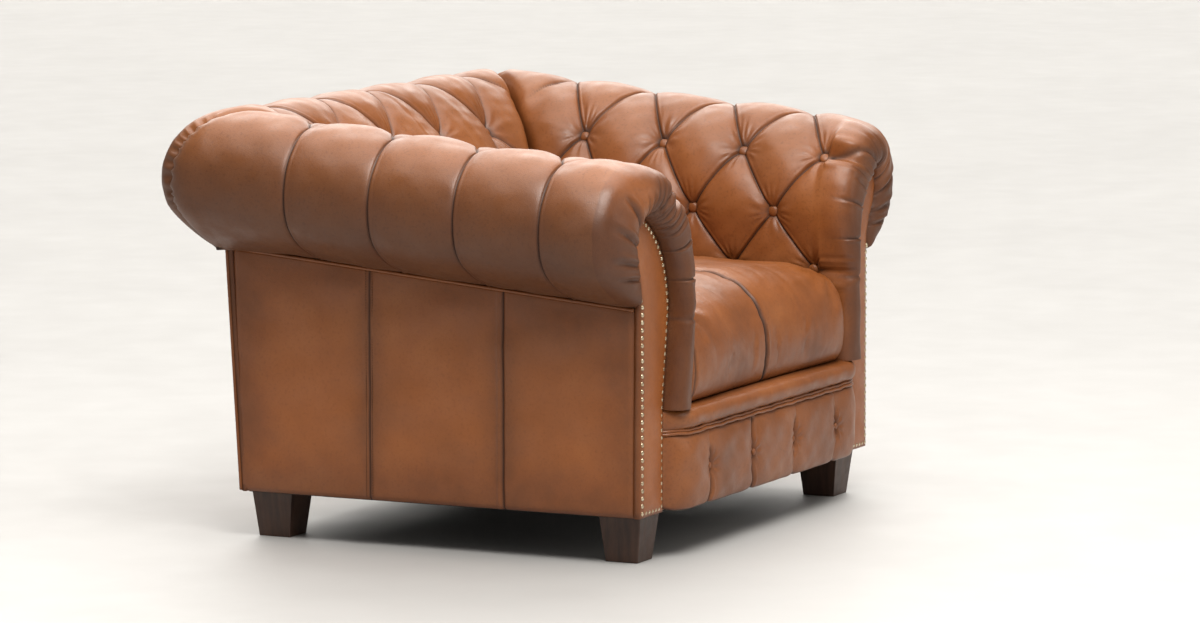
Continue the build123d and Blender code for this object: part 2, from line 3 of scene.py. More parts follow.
import bmesh
import bpy
import mathutils
import numpy as np
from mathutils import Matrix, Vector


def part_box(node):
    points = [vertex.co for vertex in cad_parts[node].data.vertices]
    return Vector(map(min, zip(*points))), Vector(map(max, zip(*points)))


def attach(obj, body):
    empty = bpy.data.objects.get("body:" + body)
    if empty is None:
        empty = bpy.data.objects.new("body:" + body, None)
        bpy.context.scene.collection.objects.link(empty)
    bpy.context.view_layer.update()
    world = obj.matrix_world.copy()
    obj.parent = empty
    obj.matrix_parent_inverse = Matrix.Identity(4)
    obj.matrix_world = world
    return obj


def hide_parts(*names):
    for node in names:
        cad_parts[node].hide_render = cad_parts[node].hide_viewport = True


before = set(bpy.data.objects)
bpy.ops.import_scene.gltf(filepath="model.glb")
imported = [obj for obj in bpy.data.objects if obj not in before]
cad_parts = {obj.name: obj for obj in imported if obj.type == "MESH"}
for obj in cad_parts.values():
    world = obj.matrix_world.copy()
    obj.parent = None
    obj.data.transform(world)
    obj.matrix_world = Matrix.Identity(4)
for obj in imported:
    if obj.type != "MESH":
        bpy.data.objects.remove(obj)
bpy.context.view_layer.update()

# Tufted leather armchair: padded covers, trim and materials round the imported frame.
# Metres, +Z up, the front faces -Y. Left and right are as seen from the front, so left is -X.
both_sides = (("right", 1), ("left", -1))
mirror = np.array([-1.0, 1.0, 1.0])

# Places read from the frame
half_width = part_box("outside_arm_panel_right")[1].x
face_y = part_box("front_facing_right")[0].y
facing_back_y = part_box("front_facing_right")[1].y
front_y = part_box("arm_pad_right")[0].y
deck_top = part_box("seat_deck")[1].z
rail_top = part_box("front_band")[0].z
border_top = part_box("front_border")[1].z
border_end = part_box("front_border")[1].x
leg_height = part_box("leg_front_left")[1].z
panel_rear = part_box("outside_arm_panel_right")[1].y
cushion_low, cushion_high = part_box("seat_cushion_cover")
back_panel_low, back_panel_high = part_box("outside_back_panel")

# Rolls and pads
roll_radius = 0.118
roll_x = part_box("arm_pad_right")[1].x - roll_radius
roll_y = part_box("back_pad")[1].y - roll_radius
arm_roll_height = 0.568
back_roll_height = 0.640
roll_lip = 0.006
lip_tuck = 0.010
notch_angle = math.radians(83)
underside_angle = math.radians(-20)
arm_inner = -0.186
back_inner = -0.193
arm_shoulder = -0.120
back_shoulder = -0.098
shoulder_tilt = math.radians(39)
panel_thickness = 0.012
roll_seam_drop = 0.003

# Tufting: rows of buttons, pleats and their laps
tuft_depth = 0.020
flute_depth = 0.011
low_row = deck_top + 0.166
middle_row = deck_top + 0.270
high_row = deck_top + 0.363
back_high_row = back_roll_height + 0.021
arm_pitch = 0.163
arm_first_button = face_y + 0.0445
arm_last_button = 3
back_pitch = 0.190
row_length = 0.104
steps = 34
bridge = 0.34
crease_width = 0.0125
lap_place = 0.032
lap_width = 0.016
lap_height = 0.0017

# Tufting: buttons and the small pulls round them
button_radius = 0.0100
button_stand = 0.0068
dimple_depth = 0.005
dimple_radius = 0.016
button_shade = 0.0115
pull_height = 0.0010
pull_reach = 0.028
pull_width = 0.013

# Painted shade in the dye: down the side of the rolls, and over the fronts of the arms below the rolls
roll_shade = 0.60
front_shade = 0.54

# Mitre at the rear corners
turn_columns = 16
seam_reach = 0.024
seam_pinch = 0.006
seam_shade = 0.006
gather_height = 0.0052
gather_reach = 0.020
corner_tuck = 0.006
corner_sink = 0.040

# Fronts of the arms and their facings
front_start = 0.020
front_swell = 0.006
front_taper = 0.006
taper_reach = 0.055
front_pad = face_y - front_y
front_columns = 36
edge_sink = 0.004
scroll_radius = 0.047
scroll_waist = 0.093
scroll_belly = 0.118
scroll_belly_drop = 0.138
scroll_bulge = 0.038

# Trim
nail_radius = 0.0044
nail_height = 0.0032
welt_radius = 0.0029
stitch_pitch = 0.0046
stitch_length = 0.0031
stitch_radius = 0.00055
stitch_aside = 0.0058
seam_step = 0.260


# Small helpers
def smooth(x, low=0.0, high=1.0):
    """Eased step from 0 at low to 1 at high."""
    u = np.clip((x - low) / (high - low), 0, 1)
    return u * u * (3 - 2 * u)


def bell(x, width, power=2.0):
    """Bump that is 1 at x = 0 and fades out over the given width."""
    return np.exp(-np.abs(x / width) ** power)


def stacked(*parts):
    """Points or ways from their coordinates."""
    return np.stack(np.broadcast_arrays(*parts), axis=-1)


def darkest(*marks):
    """The largest of several marks at each place."""
    return np.maximum.reduce(np.broadcast_arrays(*marks))


def hermite(u, p0, d0, p1, d1):
    """Cubic from p0 to p1 with end directions d0 and d1."""
    u2 = u * u
    u3 = u2 * u
    return (2 * u3 - 3 * u2 + 1) * p0 + (u3 - 2 * u2 + u) * d0 + (3 * u2 - 2 * u3) * p1 + (u3 - u2) * d1


def wander(points, length, seed):
    """Smooth irregular field, about -1 to 1, that turns over in about the given length."""
    rng = np.random.default_rng(seed)
    total = np.zeros(points.shape[:-1])
    for _ in range(6):
        way = rng.normal(size=3)
        way *= 2 * math.pi * rng.uniform(0.6, 1.5) / length / np.linalg.norm(way)
        total += np.sin(points @ way + rng.uniform(0, 2 * math.pi))
    return total / 3


def grid_faces(rows, columns, wrap=False, first=0):
    """Quads of a grid whose vertices are numbered row by row. Wrap joins the last column to the first."""
    faces = []
    for i in range(rows - 1):
        for j in range(columns if wrap else columns - 1):
            k = (j + 1) % columns
            a = first + i * columns
            b = a + columns
            faces.append((a + j, a + k, b + k, b + j))
    return faces


def closed_faces(rows, columns, first=0):
    """Faces of a tube of rings, closed at both ends."""
    last = first + (rows - 1) * columns
    ends = [tuple(range(ring, ring + columns)) for ring in (first, last)]
    return grid_faces(rows, columns, True, first) + ends


def configure(thing, **settings):
    for key, value in settings.items():
        setattr(thing, key, value)
    return thing


def new_object(name, data):
    obj = bpy.data.objects.new(name, data)
    bpy.context.scene.collection.objects.link(obj)
    return obj


def mesh_object(name, points, faces, marks=()):
    """New smooth-shaded object. Marks are the pleat and crown values that the leather reads: pleat darkens it
    with painted shade, dark seams and burnish, crown pales it with wear and painted highlight.
    """
    mesh = bpy.data.meshes.new(name)
    mesh.from_pydata(np.asarray(points, float).reshape(-1, 3).tolist(), [], faces)
    mesh.validate()
    mesh.polygons.foreach_set("use_smooth", [True] * len(mesh.polygons))
    for mark, values in zip(("pleat", "crown"), marks):
        layer = mesh.attributes.new(mark, "FLOAT", "POINT")
        spread = np.zeros(len(mesh.vertices)) + np.ravel(values)
        layer.data.foreach_set("value", spread.astype(np.float32))
    return new_object(name, mesh)


def face_outward(obj):
    """Turns all faces of a closed or lapped skin the same way, outward."""
    work = bmesh.new()
    work.from_mesh(obj.data)
    bmesh.ops.recalc_face_normals(work, faces=work.faces)
    work.to_mesh(obj.data)
    work.free()


def dress(obj, finish, nodes=(), body="chair", fill=None, slot=None):
    """Gives a piece its material and its place in the frame."""
    obj.data.materials.clear()
    obj.data.materials.append(finishes[finish])
    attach(obj, body)
    if nodes:
        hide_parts(*nodes)


def add_piece(name, points, faces, finish, nodes=(), marks=(), **place):
    """New piece, faced outward and dressed."""
    obj = mesh_object(name, points, faces, marks)
    face_outward(obj)
    dress(obj, finish, nodes, **place)


# Materials
class Nodes:
    """Short way to add shader nodes to one material."""

    def __init__(self, name):
        self.material = bpy.data.materials.new(name)
        self.material.use_nodes = True
        self.tree = self.material.node_tree
        self.place = self.add("ShaderNodeTexCoord").outputs["Object"]

    def fill(self, node, inputs):
        """Links each input that is given a socket, and sets the others."""
        for key, value in inputs.items():
            if isinstance(value, bpy.types.NodeSocket):
                self.tree.links.new(value, node.inputs[key])
            else:
                node.inputs[key].default_value = value

    def add(self, kind, inputs=None, **settings):
        node = configure(self.tree.nodes.new(kind), **settings)
        self.fill(node, inputs or {})
        return node

    def noise(self, scale, detail=4.0, roughness=0.55, stretch=None):
        place = self.place
        if stretch is not None:
            place = self.add("ShaderNodeMapping", {"Scale": stretch, "Vector": place}).outputs["Vector"]
        inputs = {"Scale": scale, "Detail": detail, "Roughness": roughness, "Vector": place}
        return self.add("ShaderNodeTexNoise", inputs).outputs["Fac"]

    def cells(self, scale, smoothness=0.4):
        inputs = {"Scale": scale, "Smoothness": smoothness, "Vector": self.place}
        return self.add("ShaderNodeTexVoronoi", inputs, feature="SMOOTH_F1").outputs["Distance"]

    def mark(self, name):
        return self.add("ShaderNodeAttribute", attribute_name=name).outputs["Fac"]

    def ramp(self, source, *stops):
        node = self.add("ShaderNodeValToRGB", {"Fac": source})
        while len(node.color_ramp.elements) < len(stops):
            node.color_ramp.elements.new(0.5)
        for element, (place, colour) in zip(node.color_ramp.elements, stops):
            element.position = place
            element.color = (*colour, 1)
        return node.outputs["Color"]

    def spread(self, source, low, high, new_low, new_high):
        inputs = {"Value": source, "From Min": low, "From Max": high, "To Min": new_low, "To Max": new_high}
        return self.add("ShaderNodeMapRange", inputs).outputs["Result"]

    def combine(self, operation, first, second):
        return self.add("ShaderNodeMath", {0: first, 1: second}, operation=operation).outputs[0]

    def mix(self, amount, source, colour):
        """Blends a colour socket into a plain colour."""
        inputs = {0: amount, 6: source, 7: (*colour, 1)}
        return self.add("ShaderNodeMix", inputs, data_type="RGBA").outputs[2]

    def bump(self, height, strength, distance):
        inputs = {"Height": height, "Strength": strength, "Distance": distance}
        return self.add("ShaderNodeBump", inputs)

    def finish(self, colour, roughness, bump=None, **values):
        inputs = {"Base Color": colour, "Roughness": roughness}
        if bump is not None:
            inputs["Normal"] = bump.outputs["Normal"]
        for key, value in values.items():
            inputs[key.replace("_", " ")] = value
        self.fill(self.tree.nodes["Principled BSDF"], inputs)
        return self.material


def leather(name, dark, middle, light, worn_and_highlight):
    """Aniline leather: mottled dye, pleats and edges darkened by painted shade with dark seams and burnish,
    crowns paled by wear and painted highlight, fine pebble grain.
    """
    n = Nodes(name)
    dye = n.ramp(n.noise(7.0, 6.0, 0.62), (0.30, dark), (0.52, middle), (0.75, light))
    # Paler crowns: partly wear, partly painted highlight on the tops of the puffs.
    crowned = n.mix(n.spread(n.mark("crown"), 0.35, 1.0, 0.0, worn_and_highlight), dye, light)
    flecked = n.mix(n.spread(n.noise(190.0, 4.0), 0.52, 0.72, 0.0, 0.50), crowned, dark)
    # The pleat mark mixes in painted shade, with dark seams and burnish.
    colour = n.mix(n.mark("pleat"), flecked, tan_shade_and_burnish)
    sheen = n.spread(n.noise(34.0, 5.0), 0.3, 0.7, 0.30, 0.47)
    roughness = n.combine("ADD", sheen, n.spread(n.mark("pleat"), 0.45, 1.0, 0.0, 0.45))
    grain = n.bump(n.cells(620.0), 0.34, 0.0004)
    creases = n.bump(n.noise(60.0, 6.0, 0.6), 0.16, 0.0014)
    n.fill(creases, {"Normal": grain.outputs["Normal"]})
    return n.finish(colour, roughness, creases, Specular_IOR_Level=0.5)


def wood(name, dark, light, stretch, roughness):
    """Stained wood with grain along its stretched axis."""
    n = Nodes(name)
    colour = n.ramp(n.noise(9.0, 8.0, 0.65, stretch), (0.32, dark), (0.68, light))
    gloss = n.spread(n.noise(60.0, 2.0), 0.3, 0.7, roughness - 0.05, roughness + 0.07)
    return n.finish(colour, gloss, n.bump(n.noise(120.0, 4.0, 0.6, stretch), 0.10, 0.0006))


def metal(name, dark, light, scale, roughness):
    """Tarnished metal with worn bright spots."""
    n = Nodes(name)
    patina = n.noise(scale, 5.0, 0.65)
    colour = n.ramp(patina, (0.35, dark), (0.65, light))
    gloss = n.spread(patina, 0.3, 0.7, roughness + 0.14, roughness)
    return n.finish(colour, gloss, n.bump(n.noise(scale * 6, 3.0), 0.08, 0.0003), Metallic=1.0)


def cloth(name, dark, light, pitch):
    """Plain woven cloth."""
    n = Nodes(name)
    inputs = {"Scale": 1 / pitch, "Vector": n.place}
    threads = [n.add("ShaderNodeTexWave", inputs, bands_direction=way).outputs["Fac"] for way in "XY"]
    weave = n.combine("MAXIMUM", *threads)
    tone = n.ramp(n.noise(40.0), (0.3, dark), (0.7, light))
    colour = n.mix(n.spread(weave, 0.0, 1.0, 0.0, 0.5), tone, light)
    roughness = n.spread(n.noise(90.0), 0.3, 0.7, 0.85, 0.95)
    return n.finish(colour, roughness, n.bump(weave, 0.3, 0.0005))


def foam(name, dark, light):
    """Open-celled foam."""
    n = Nodes(name)
    pores = n.cells(420.0, 0.1)
    colour = n.ramp(pores, (0.1, dark), (0.6, light))
    roughness = n.spread(n.noise(90.0), 0.3, 0.7, 0.88, 0.97)
    return n.finish(colour, roughness, n.bump(pores, 0.5, 0.0008))


# Dye colours, and a very dark brown for painted shade, dark seams and burnish.
tan_dark = (0.145, 0.043, 0.010)
tan = (0.225, 0.068, 0.016)
tan_light = (0.300, 0.102, 0.028)
tan_shade_and_burnish = (0.022, 0.007, 0.003)
finishes = {
    name: make(name, *values)
    for make, name, *values in (
        (leather, "tufted_leather", tan_dark, tan, tan_light, 0.62),
        (leather, "cushion_leather", tan_dark, tan, tan_light, 0.35),
        (leather, "panel_leather", tan, (0.310, 0.093, 0.021), (0.370, 0.122, 0.030), 0.3),
        (leather, "button_leather", tan_dark, tan, tan_light, 0.3),
        (leather, "piping_leather", tan_dark, tan, tan_light, 0.3),
        (wood, "leg_wood", (0.030, 0.012, 0.006), (0.072, 0.030, 0.016), (9.0, 9.0, 1.0), 0.42),
        (wood, "frame_timber", (0.36, 0.24, 0.13), (0.52, 0.38, 0.22), (1.0, 7.0, 7.0), 0.66),
        (wood, "bent_board", (0.30, 0.21, 0.12), (0.44, 0.33, 0.20), (7.0, 1.0, 7.0), 0.70),
        (metal, "nail_brass", (0.40, 0.30, 0.18), (0.80, 0.70, 0.52), 240.0, 0.22),
        (metal, "spring_steel", (0.20, 0.20, 0.21), (0.45, 0.45, 0.46), 90.0, 0.34),
        (metal, "bolt_steel", (0.30, 0.29, 0.26), (0.58, 0.56, 0.50), 140.0, 0.28),
        (cloth, "deck_cloth", (0.10, 0.055, 0.030), (0.16, 0.095, 0.055), 0.006),
        (cloth, "dust_cloth", (0.012, 0.012, 0.013), (0.030, 0.030, 0.032), 0.004),
        (foam, "cushion_foam", (0.55, 0.47, 0.30), (0.74, 0.67, 0.48)),
        (cloth, "thread", (0.060, 0.022, 0.009), (0.110, 0.045, 0.018), 0.0008),
    )
}


# Tufted pads
# A pad's skin is a sheet: t runs round its section (0 deck, 1 to 3 the rows of buttons, 4 the notches on the
# roll's top, 5 the underside, 6 the lip, 7 its tucked edge), and s counts buttons along its length.
def section_samples():
    counts = ((0, 1, 30), (1, 4, 3 * steps), (4, 5, 44), (5, 6, 28), (6, 7, 4))
    runs = [np.linspace(a, b, count, endpoint=False) for a, b, count in counts]
    return np.concatenate(runs + [[7.0]])


section_t = section_samples()
tuft_height = np.interp(
    section_t,
    [0, 1, 2, 3, 3.6, 4, 4.4, 5, 6, 7],
    [0.008, 0.017, 0.028, 0.033, 0.027, 0.018, 0.013, 0.012, 0.003, 0.0],
)


def pad_section(inner, shoulder, lip, high_z, centre_z):
    """Section at the depth of the pleats: offset from the roll's line and height, by length and by t."""
    centre_z = np.asarray(centre_z, float)[:, None]
    high_z = np.asarray(high_z, float)[:, None]
    base = roll_radius - flute_depth
    roll_bottom = centre_z - roll_radius
    knots = [
        (inner + tuft_depth / 2, deck_top),
        (inner + tuft_depth, low_row),
        (inner + tuft_depth, middle_row),
        (shoulder, high_z),
        (base * math.cos(notch_angle), centre_z + base * math.sin(notch_angle)),
        (base * math.cos(underside_angle), centre_z + base * math.sin(underside_angle)),
        (lip, roll_bottom),
        (lip - lip_tuck, roll_bottom + lip_tuck / 4),
    ]
    rise = (0, 1)
    tilt = (math.sin(shoulder_tilt), math.cos(shoulder_tilt))
    over = (math.sin(notch_angle), -math.cos(notch_angle))
    under = (math.sin(underside_angle), -math.cos(underside_angle))
    ways = [(rise, rise), (rise, rise), (rise, tilt), (tilt, over), None]
    ways += [(under, (-0.8, -0.35)), ((-1, 0), (-1, 0.2))]
    offset = np.zeros((len(centre_z), len(section_t)))
    height = np.zeros_like(offset)
    for k, way in enumerate(ways):
        here = (section_t >= k) & (section_t <= k + 1)
        u = (section_t[here] - k)[None, :]
        if way is None:  # round the roll
            angle = notch_angle + (underside_angle - notch_angle) * u
            offset[:, here] = base * np.cos(angle)
            height[:, here] = centre_z + base * np.sin(angle)
            continue
        (p, q), (r, v) = knots[k], knots[k + 1]
        chord = np.hypot(r - p, v - q)
        offset[:, here] = hermite(u, p, way[0][0] * chord, r, way[1][0] * chord)
        height[:, here] = hermite(u, q, way[0][1] * chord, v, way[1][1] * chord)
    return offset, height


def section_normals(offset, height):
    along = np.gradient(offset, axis=1)
    up = np.gradient(height, axis=1)
    size = np.hypot(along, up) + 1e-12
    return -up / size, along / size


def diagonals(s, t):
    """How far each place is from one pleat to the next, 0 to 1, across both sets of pleats."""
    row = np.clip(t - 1, 0, 3)
    return np.mod((row - 2 * s) / 2, 1), np.mod((row + 2 * s) / 2, 1)


def to_nearer(share):
    return np.minimum(share, 1 - share)


def on_roll(t):
    return smooth(t, 3.2, 3.9) * (1 - smooth(t, 5.2, 6.0))


def roll_side_shade(t):
    """How much painted shade darkens the dye down the side of the roll."""
    return roll_shade * smooth(t, 4.05, 4.75)


def tufting(s, t, buttons, pitch, corner):
    """Relief of diamond tufting: puff 0 to 1, extra height in metres, and how near a pleat or button is,
    which the leather darkens as painted shade.

    Ahead of the first buttons the diamonds give way to a plain pleat from each of them, and past the last
    flute before the corner they fade out.
    """
    first, second = diagonals(s, t)
    shown = smooth(s, -0.12, -0.01) * (1 - smooth(s, corner - 0.42, corner - 0.12) * smooth(t, 2.5, 3.0))
    power = np.interp(t, [3.2, 4.3], [0.54, 0.22])
    plain = 1 - (0.75 * bell(t - 3, 0.11) + 0.28 * bell(t - 1, 0.07)) * (s < 0)
    dome_1, dome_2 = (plain - shown * (plain - (4 * u * (1 - u)) ** power) for u in (first, second))
    puff = bridge * (dome_1 + dome_2) + (1 - 2 * bridge) * dome_1 * dome_2
    width = crease_width * np.interp(t, [3.6, 4.3], [1.0, 1.35])
    tail = bell(t - 3, 0.035) + 0.8 * bell(t - 1, 0.030)
    # Painted shade along the pleats, and along the plain pleats ahead of the buttons.
    pleat = bell(np.minimum(to_nearer(first), to_nearer(second)), width) * shown
    pleat = darkest(pleat, tail * (1 - shown) * (s < 0))
    lap = bell(first - lap_place, lap_width) + bell(second - lap_place, lap_width) * (1 - smooth(t, 3.5, 3.9))
    into = np.clip(1 - (s * pitch + front_start) / taper_reach, 0, 1)
    extra = lap_height * lap * shown - front_taper * on_roll(t) * into**2 * (s < 1)
    for index, (s_button, t_button) in enumerate(buttons):
        across = (s - s_button) * pitch
        up = (t - t_button) * row_length
        reach = np.hypot(across, up)
        spin = np.arctan2(up, across)
        pulls = np.cos(15 * spin + 2 * np.sin(3 * spin + index)) * bell(reach - pull_reach, pull_width)
        extra += pull_height * pulls - dimple_depth * bell(reach, dimple_radius)
        # Painted shade in the dimple round each button.
        pleat = darkest(pleat, bell(reach, button_shade, 4))
    return puff, extra, pleat


def corner_columns(offset, start, line, step):
    """Columns from the last regular one to the mitre: how far along, how far turned, how near the seam."""
    straight = line - start
    straight_columns = round(straight / step)
    count = straight_columns + turn_columns
    m = np.arange(1, count + 1)[:, None]
    inside = np.minimum(offset, 0)
    follow = smooth(offset, -0.09, 0.0)
    part = (1 - follow) * m / count + follow * np.minimum(m / straight_columns, 1)
    along = start + part * (straight + inside)
    turn = math.pi / 4 * np.maximum(m - straight_columns, 0) / turn_columns * (offset > 0)
    seam = (1 - part) * (straight + inside) + np.maximum(offset, 0) * (math.pi / 4 - turn)
    return along, turn, seam, part


def seam_curve():
    """Shared edge of an arm pad and the back pad: up the inside, over the roll, down to the panels."""
    lip = back_panel_high.y + roll_lip - roll_y
    offset, height = pad_section(back_inner, back_shoulder, lip, [back_high_row], [back_roll_height])
    out, up = section_normals(offset, height)
    tucked = smooth(section_t, 5.0, 5.6)
    lift = tuft_height * tucked - seam_pinch * (1 - tucked)
    offset = (offset + lift * out)[0]
    height = (height + lift * up)[0]
    reach = np.where(offset < 0, offset, offset * math.sqrt(0.5))
    points = stacked(roll_x + reach, roll_y + reach, height)
    share = smooth(section_t, 5, 6)
    tuck = lip_tuck * smooth(section_t, 6, 7)
    low = height - corner_tuck - corner_sink * (1 - share)
    corner = stacked(roll_x - corner_tuck - tuck, back_panel_high.y + roll_lip - tuck, low)
    return points + share[:, None] * (corner - points)


def pad_skin(columns, buttons, pitch, corner, seed):
    """Adds the tufting to a run of columns and returns local points: along, offset, height, with marks.

    Columns hold, for each length and t: along, turn, seam distance, s, and the section's offset and height.
    """
    along, turn, seam, s, offset, height = columns
    out, up = section_normals(offset, height)
    t = np.broadcast_to(section_t, offset.shape)
    puff, extra, pleat = tufting(s, t, buttons, pitch, corner)
    field = stacked(along, offset, height)
    fullness = 1 + 0.08 * wander(field, 0.30, seed)
    pinched = 1 - smooth(t, 5.0, 5.6)
    open_seam = 1 - pinched * bell(seam, seam_reach)
    relief = (puff * tuft_height * fullness + extra) * open_seam
    relief -= seam_pinch * pinched * bell(seam, 0.008)
    ruffle = np.sin(2 * math.pi * 10 * t + 3 * wander(field, 0.05, seed + 1))
    gathered = smooth(t, 3.8, 4.1) * (1 - smooth(t, 4.9, 5.3))
    relief += gather_height * ruffle * gathered * bell(seam, gather_reach) * (1 - bell(seam, seam_shade))
    relief += 0.0008 * wander(field, 0.045, seed + 2) * puff * open_seam
    # Dark mitre seam, and painted shade down the side of the roll.
    pleat = darkest(pleat, bell(seam, seam_shade), roll_side_shade(t))
    moved = offset + out * relief
    return stacked(along + moved * np.sin(turn), moved * np.cos(turn), height + up * relief), pleat, puff


def to_seam(points, count, edge):
    """Eases the last columns onto the shared seam."""
    ease = smooth(np.arange(count), count - 1.8 * steps, count - 1)[:, None, None]
    points[-count:] += ease * (edge - points[-1])


def pad_triangles(s):
    """Triangles of a pad's sheet, each quad split along the pleat that is nearer."""
    near_1, near_2 = (to_nearer(share) for share in diagonals(s, section_t[None, :]))
    rising = near_1[:-1, :-1] + near_1[1:, 1:] < near_2[1:, :-1] + near_2[:-1, 1:]
    faces = []
    for a, b, c, d in grid_faces(*s.shape):
        row, column = divmod(a, s.shape[1])
        if rising[row, column]:
            faces += [(a, b, c), (a, c, d)]
        else:
            faces += [(a, b, d), (b, c, d)]
    return faces


# Edge of a facing that the roll laps over: t, x and z, from the tip of the scroll down to the outer side.
tip_t = 3.6
tip_angle = math.radians(110)
scroll_centre = np.array([roll_x, arm_roll_height])
scroll_tip = scroll_centre + scroll_radius * np.array([math.cos(tip_angle), math.sin(tip_angle)])
lapped_edge = np.array([
    (tip_t, *scroll_tip),
    (4.00, roll_x - 0.005, arm_roll_height + 0.028),
    (4.35, roll_x - 0.001, arm_roll_height + 0.002),
    (4.70, roll_x - 0.006, arm_roll_height - 0.026),
    (5.00, roll_x - 0.018, arm_roll_height - 0.051),
    (5.50, roll_x - 0.028, arm_roll_height - 0.083),
    (6.00, half_width - 0.003, arm_roll_height - roll_radius),
    (7.00, half_width - 0.003, arm_roll_height - roll_radius),
])


def facing_outline():
    """Edge of the front facing for each t: inner edge, tip, and the outer edge that the roll laps over."""
    belly = np.array([half_width - scroll_belly, arm_roll_height - scroll_belly_drop])
    waist = np.array([half_width - scroll_waist, deck_top])
    chord = scroll_tip - belly
    side = np.array([-chord[1], chord[0]]) / np.linalg.norm(chord)
    t = section_t[:, None]
    u = (t - 1) / (tip_t - 1)
    low = waist + (belly - waist) * t
    inner = belly + chord * u + side * scroll_bulge * 4 * u * (1 - u)
    outer = stacked(*(np.interp(section_t, lapped_edge[:, 0], lapped_edge[:, k]) for k in (1, 2)))
    return np.where(t <= 1, low, np.where(t <= tip_t, inner, outer))


# Folds of an arm's front: t, depth, width, how near the facing each one starts, and how far its t climbs.
front_folds = [(place, 0.0046, 0.020, 0.02, 0.0) for place in (0.93, 1.60, 2.25)]
front_folds += [
    (2.66 + 0.135 * i + 0.03 * math.sin(7 * i), 0.0036, 0.030, 0.24 + 0.14 * math.sin(5 * i), 0.0)
    for i in range(10)
]
front_folds += [(place, 0.0062, 0.040, 0.16, 0.0) for place in (4.22, 4.62, 4.98, 5.30)]
front_folds += [(3.00, 0.0060, 0.036, -0.35, 0.48)]


def fold_relief(field, u, seed):
    """Folds gathered to the facing's edge: height, and how dark each place is with painted shade in the
    folds.
    """
    folds = 0.0009 * wander(field, 0.05, seed)
    pleat = np.zeros_like(folds)
    for index, (place, deep, narrow, start, climb) in enumerate(front_folds):
        row = section_t[np.argmin(np.abs(section_t - place))]
        bend = 0.03 * np.sin(3 * u + index) if start > 0.1 else 0.0
        away = section_t - row - climb * u - bend
        reach = smooth(u, start, start + 0.35)
        line = bell(away, narrow) * reach
        lap = bell(away + 2 * narrow, 1.2 * narrow) * reach
        folds += deep * (0.4 * lap - line)
        pleat = darkest(pleat, 0.7 * line)
    return folds, pleat


def arm_front(first, out, up, s_first, seed):
    """Rounded front of an arm pad, from the facing's edge (u = 1) to the pad's first column (u = 0)."""
    u = np.linspace(1, 0, front_columns, endpoint=False)[:, None]
    square = np.interp(section_t, [2.6, 3.6], [0.70, 1.0])
    side = np.cos(math.pi * u)
    side = np.sign(side) * np.abs(side) ** square
    ahead = np.sin(math.pi * u) ** square
    swing = (1 - side) / 2
    gap_x, gap_z = (facing_outline() - first[:, 1:] - (roll_x, 0)).T
    width = np.hypot(gap_x, gap_z)
    deep = front_pad + 0.5 * (first[:, 0] - face_y) + front_swell * bell(section_t - 1.2, 0.9)
    deep *= np.interp(section_t, [3.7, 4.3, 5.2, 6.0], [1.0, 0.72, 0.56, 0.40])
    depth = deep * smooth(width, 0.0, 0.030) - 0.002
    along = first[:, 0] + (face_y + edge_sink - first[:, 0]) * u - depth * ahead
    slope = 2 * front_taper / taper_reach * on_roll(section_t)
    drawn_in = slope * (first[:, 0] - face_y + math.pi * depth) * u * (1 - u) ** 2
    offset = first[:, 1] + gap_x * swing - out * drawn_in
    height = first[:, 2] + gap_z * swing - up * drawn_in
    points = stacked(along, offset, height)
    folds, pleat = fold_relief(points, u, seed + 5)
    folds *= smooth(width, 0.02, 0.05) * np.sin(math.pi * np.clip(u, 0, 0.97))
    points = points + folds[..., None] * stacked(-ahead, side * out, side * up)
    # Painted shade over the front below the roll, at the facing's edge, in the folds and down the roll's
    # side.
    shaded_front = front_shade * smooth(u, 0.10, 0.45) * (1 - smooth(section_t, 3.6, 4.0))
    pleat = darkest(pleat, 0.8 * smooth(u, 0.93, 1.0), shaded_front, roll_side_shade(section_t))
    return points, pleat, 0.5 * (1 - pleat), s_first - 0.6 * u


def joined_columns(regular, corner, end_offset, first_button, pitch):
    """Columns of a pad, as pad_skin takes them: the regular ones, then those that turn into the corner."""
    along, offset, height = regular
    corner_along, turn, seam, corner_offset, corner_height = corner
    path = corner_along + np.maximum(end_offset, 0) * turn
    return [
        np.concatenate([along, corner_along]),
        np.concatenate([np.zeros_like(offset), turn]),
        np.concatenate([np.ones_like(offset), seam]),
        (np.concatenate([along, path]) - first_button) / pitch,
        np.concatenate([offset, corner_offset]),
        np.concatenate([height, corner_height]),
    ]


def arm_section(climb):
    """Section of an arm pad at each share of its climb to the back, where it eases into the back's own."""
    lip = half_width + roll_lip - roll_x
    centre_z = arm_roll_height + (back_roll_height - arm_roll_height) * climb
    high_z = high_row + (back_high_row - high_row) * climb
    ease = smooth(climb, 0.72, 1.0)[:, None]
    near = pad_section(arm_inner, arm_shoulder, lip, high_z, centre_z)
    far = pad_section(back_inner, back_shoulder, lip, high_z, centre_z)
    return [a + (b - a) * ease for a, b in zip(near, far)]


def arm_columns():
    """Columns of an arm pad behind its front, how many of them turn, how many lie ahead of the buttons."""
    step = arm_pitch / 2 / steps
    ahead = math.floor(front_start / step)
    places = arm_first_button + np.arange(-ahead, 2 * steps * arm_last_button + 1) * step
    climb = (places - face_y) / (roll_y - face_y)
    offset, height = arm_section(climb)
    along = np.broadcast_to(places[:, None], offset.shape)
    end_offset = arm_section(np.ones(1))[0]
    start = arm_first_button + arm_last_button * arm_pitch
    corner_along, turn, seam, part = corner_columns(end_offset, start, roll_y, step)
    climbs = climb[-1] + (1 - climb[-1]) * part
    sections = np.array([[np.diagonal(side) for side in arm_section(row)] for row in climbs])
    corner = (corner_along, turn, seam, sections[:, 0], sections[:, 1])
    columns = joined_columns((along, offset, height), corner, end_offset, arm_first_button, arm_pitch)
    return columns, len(part), ahead


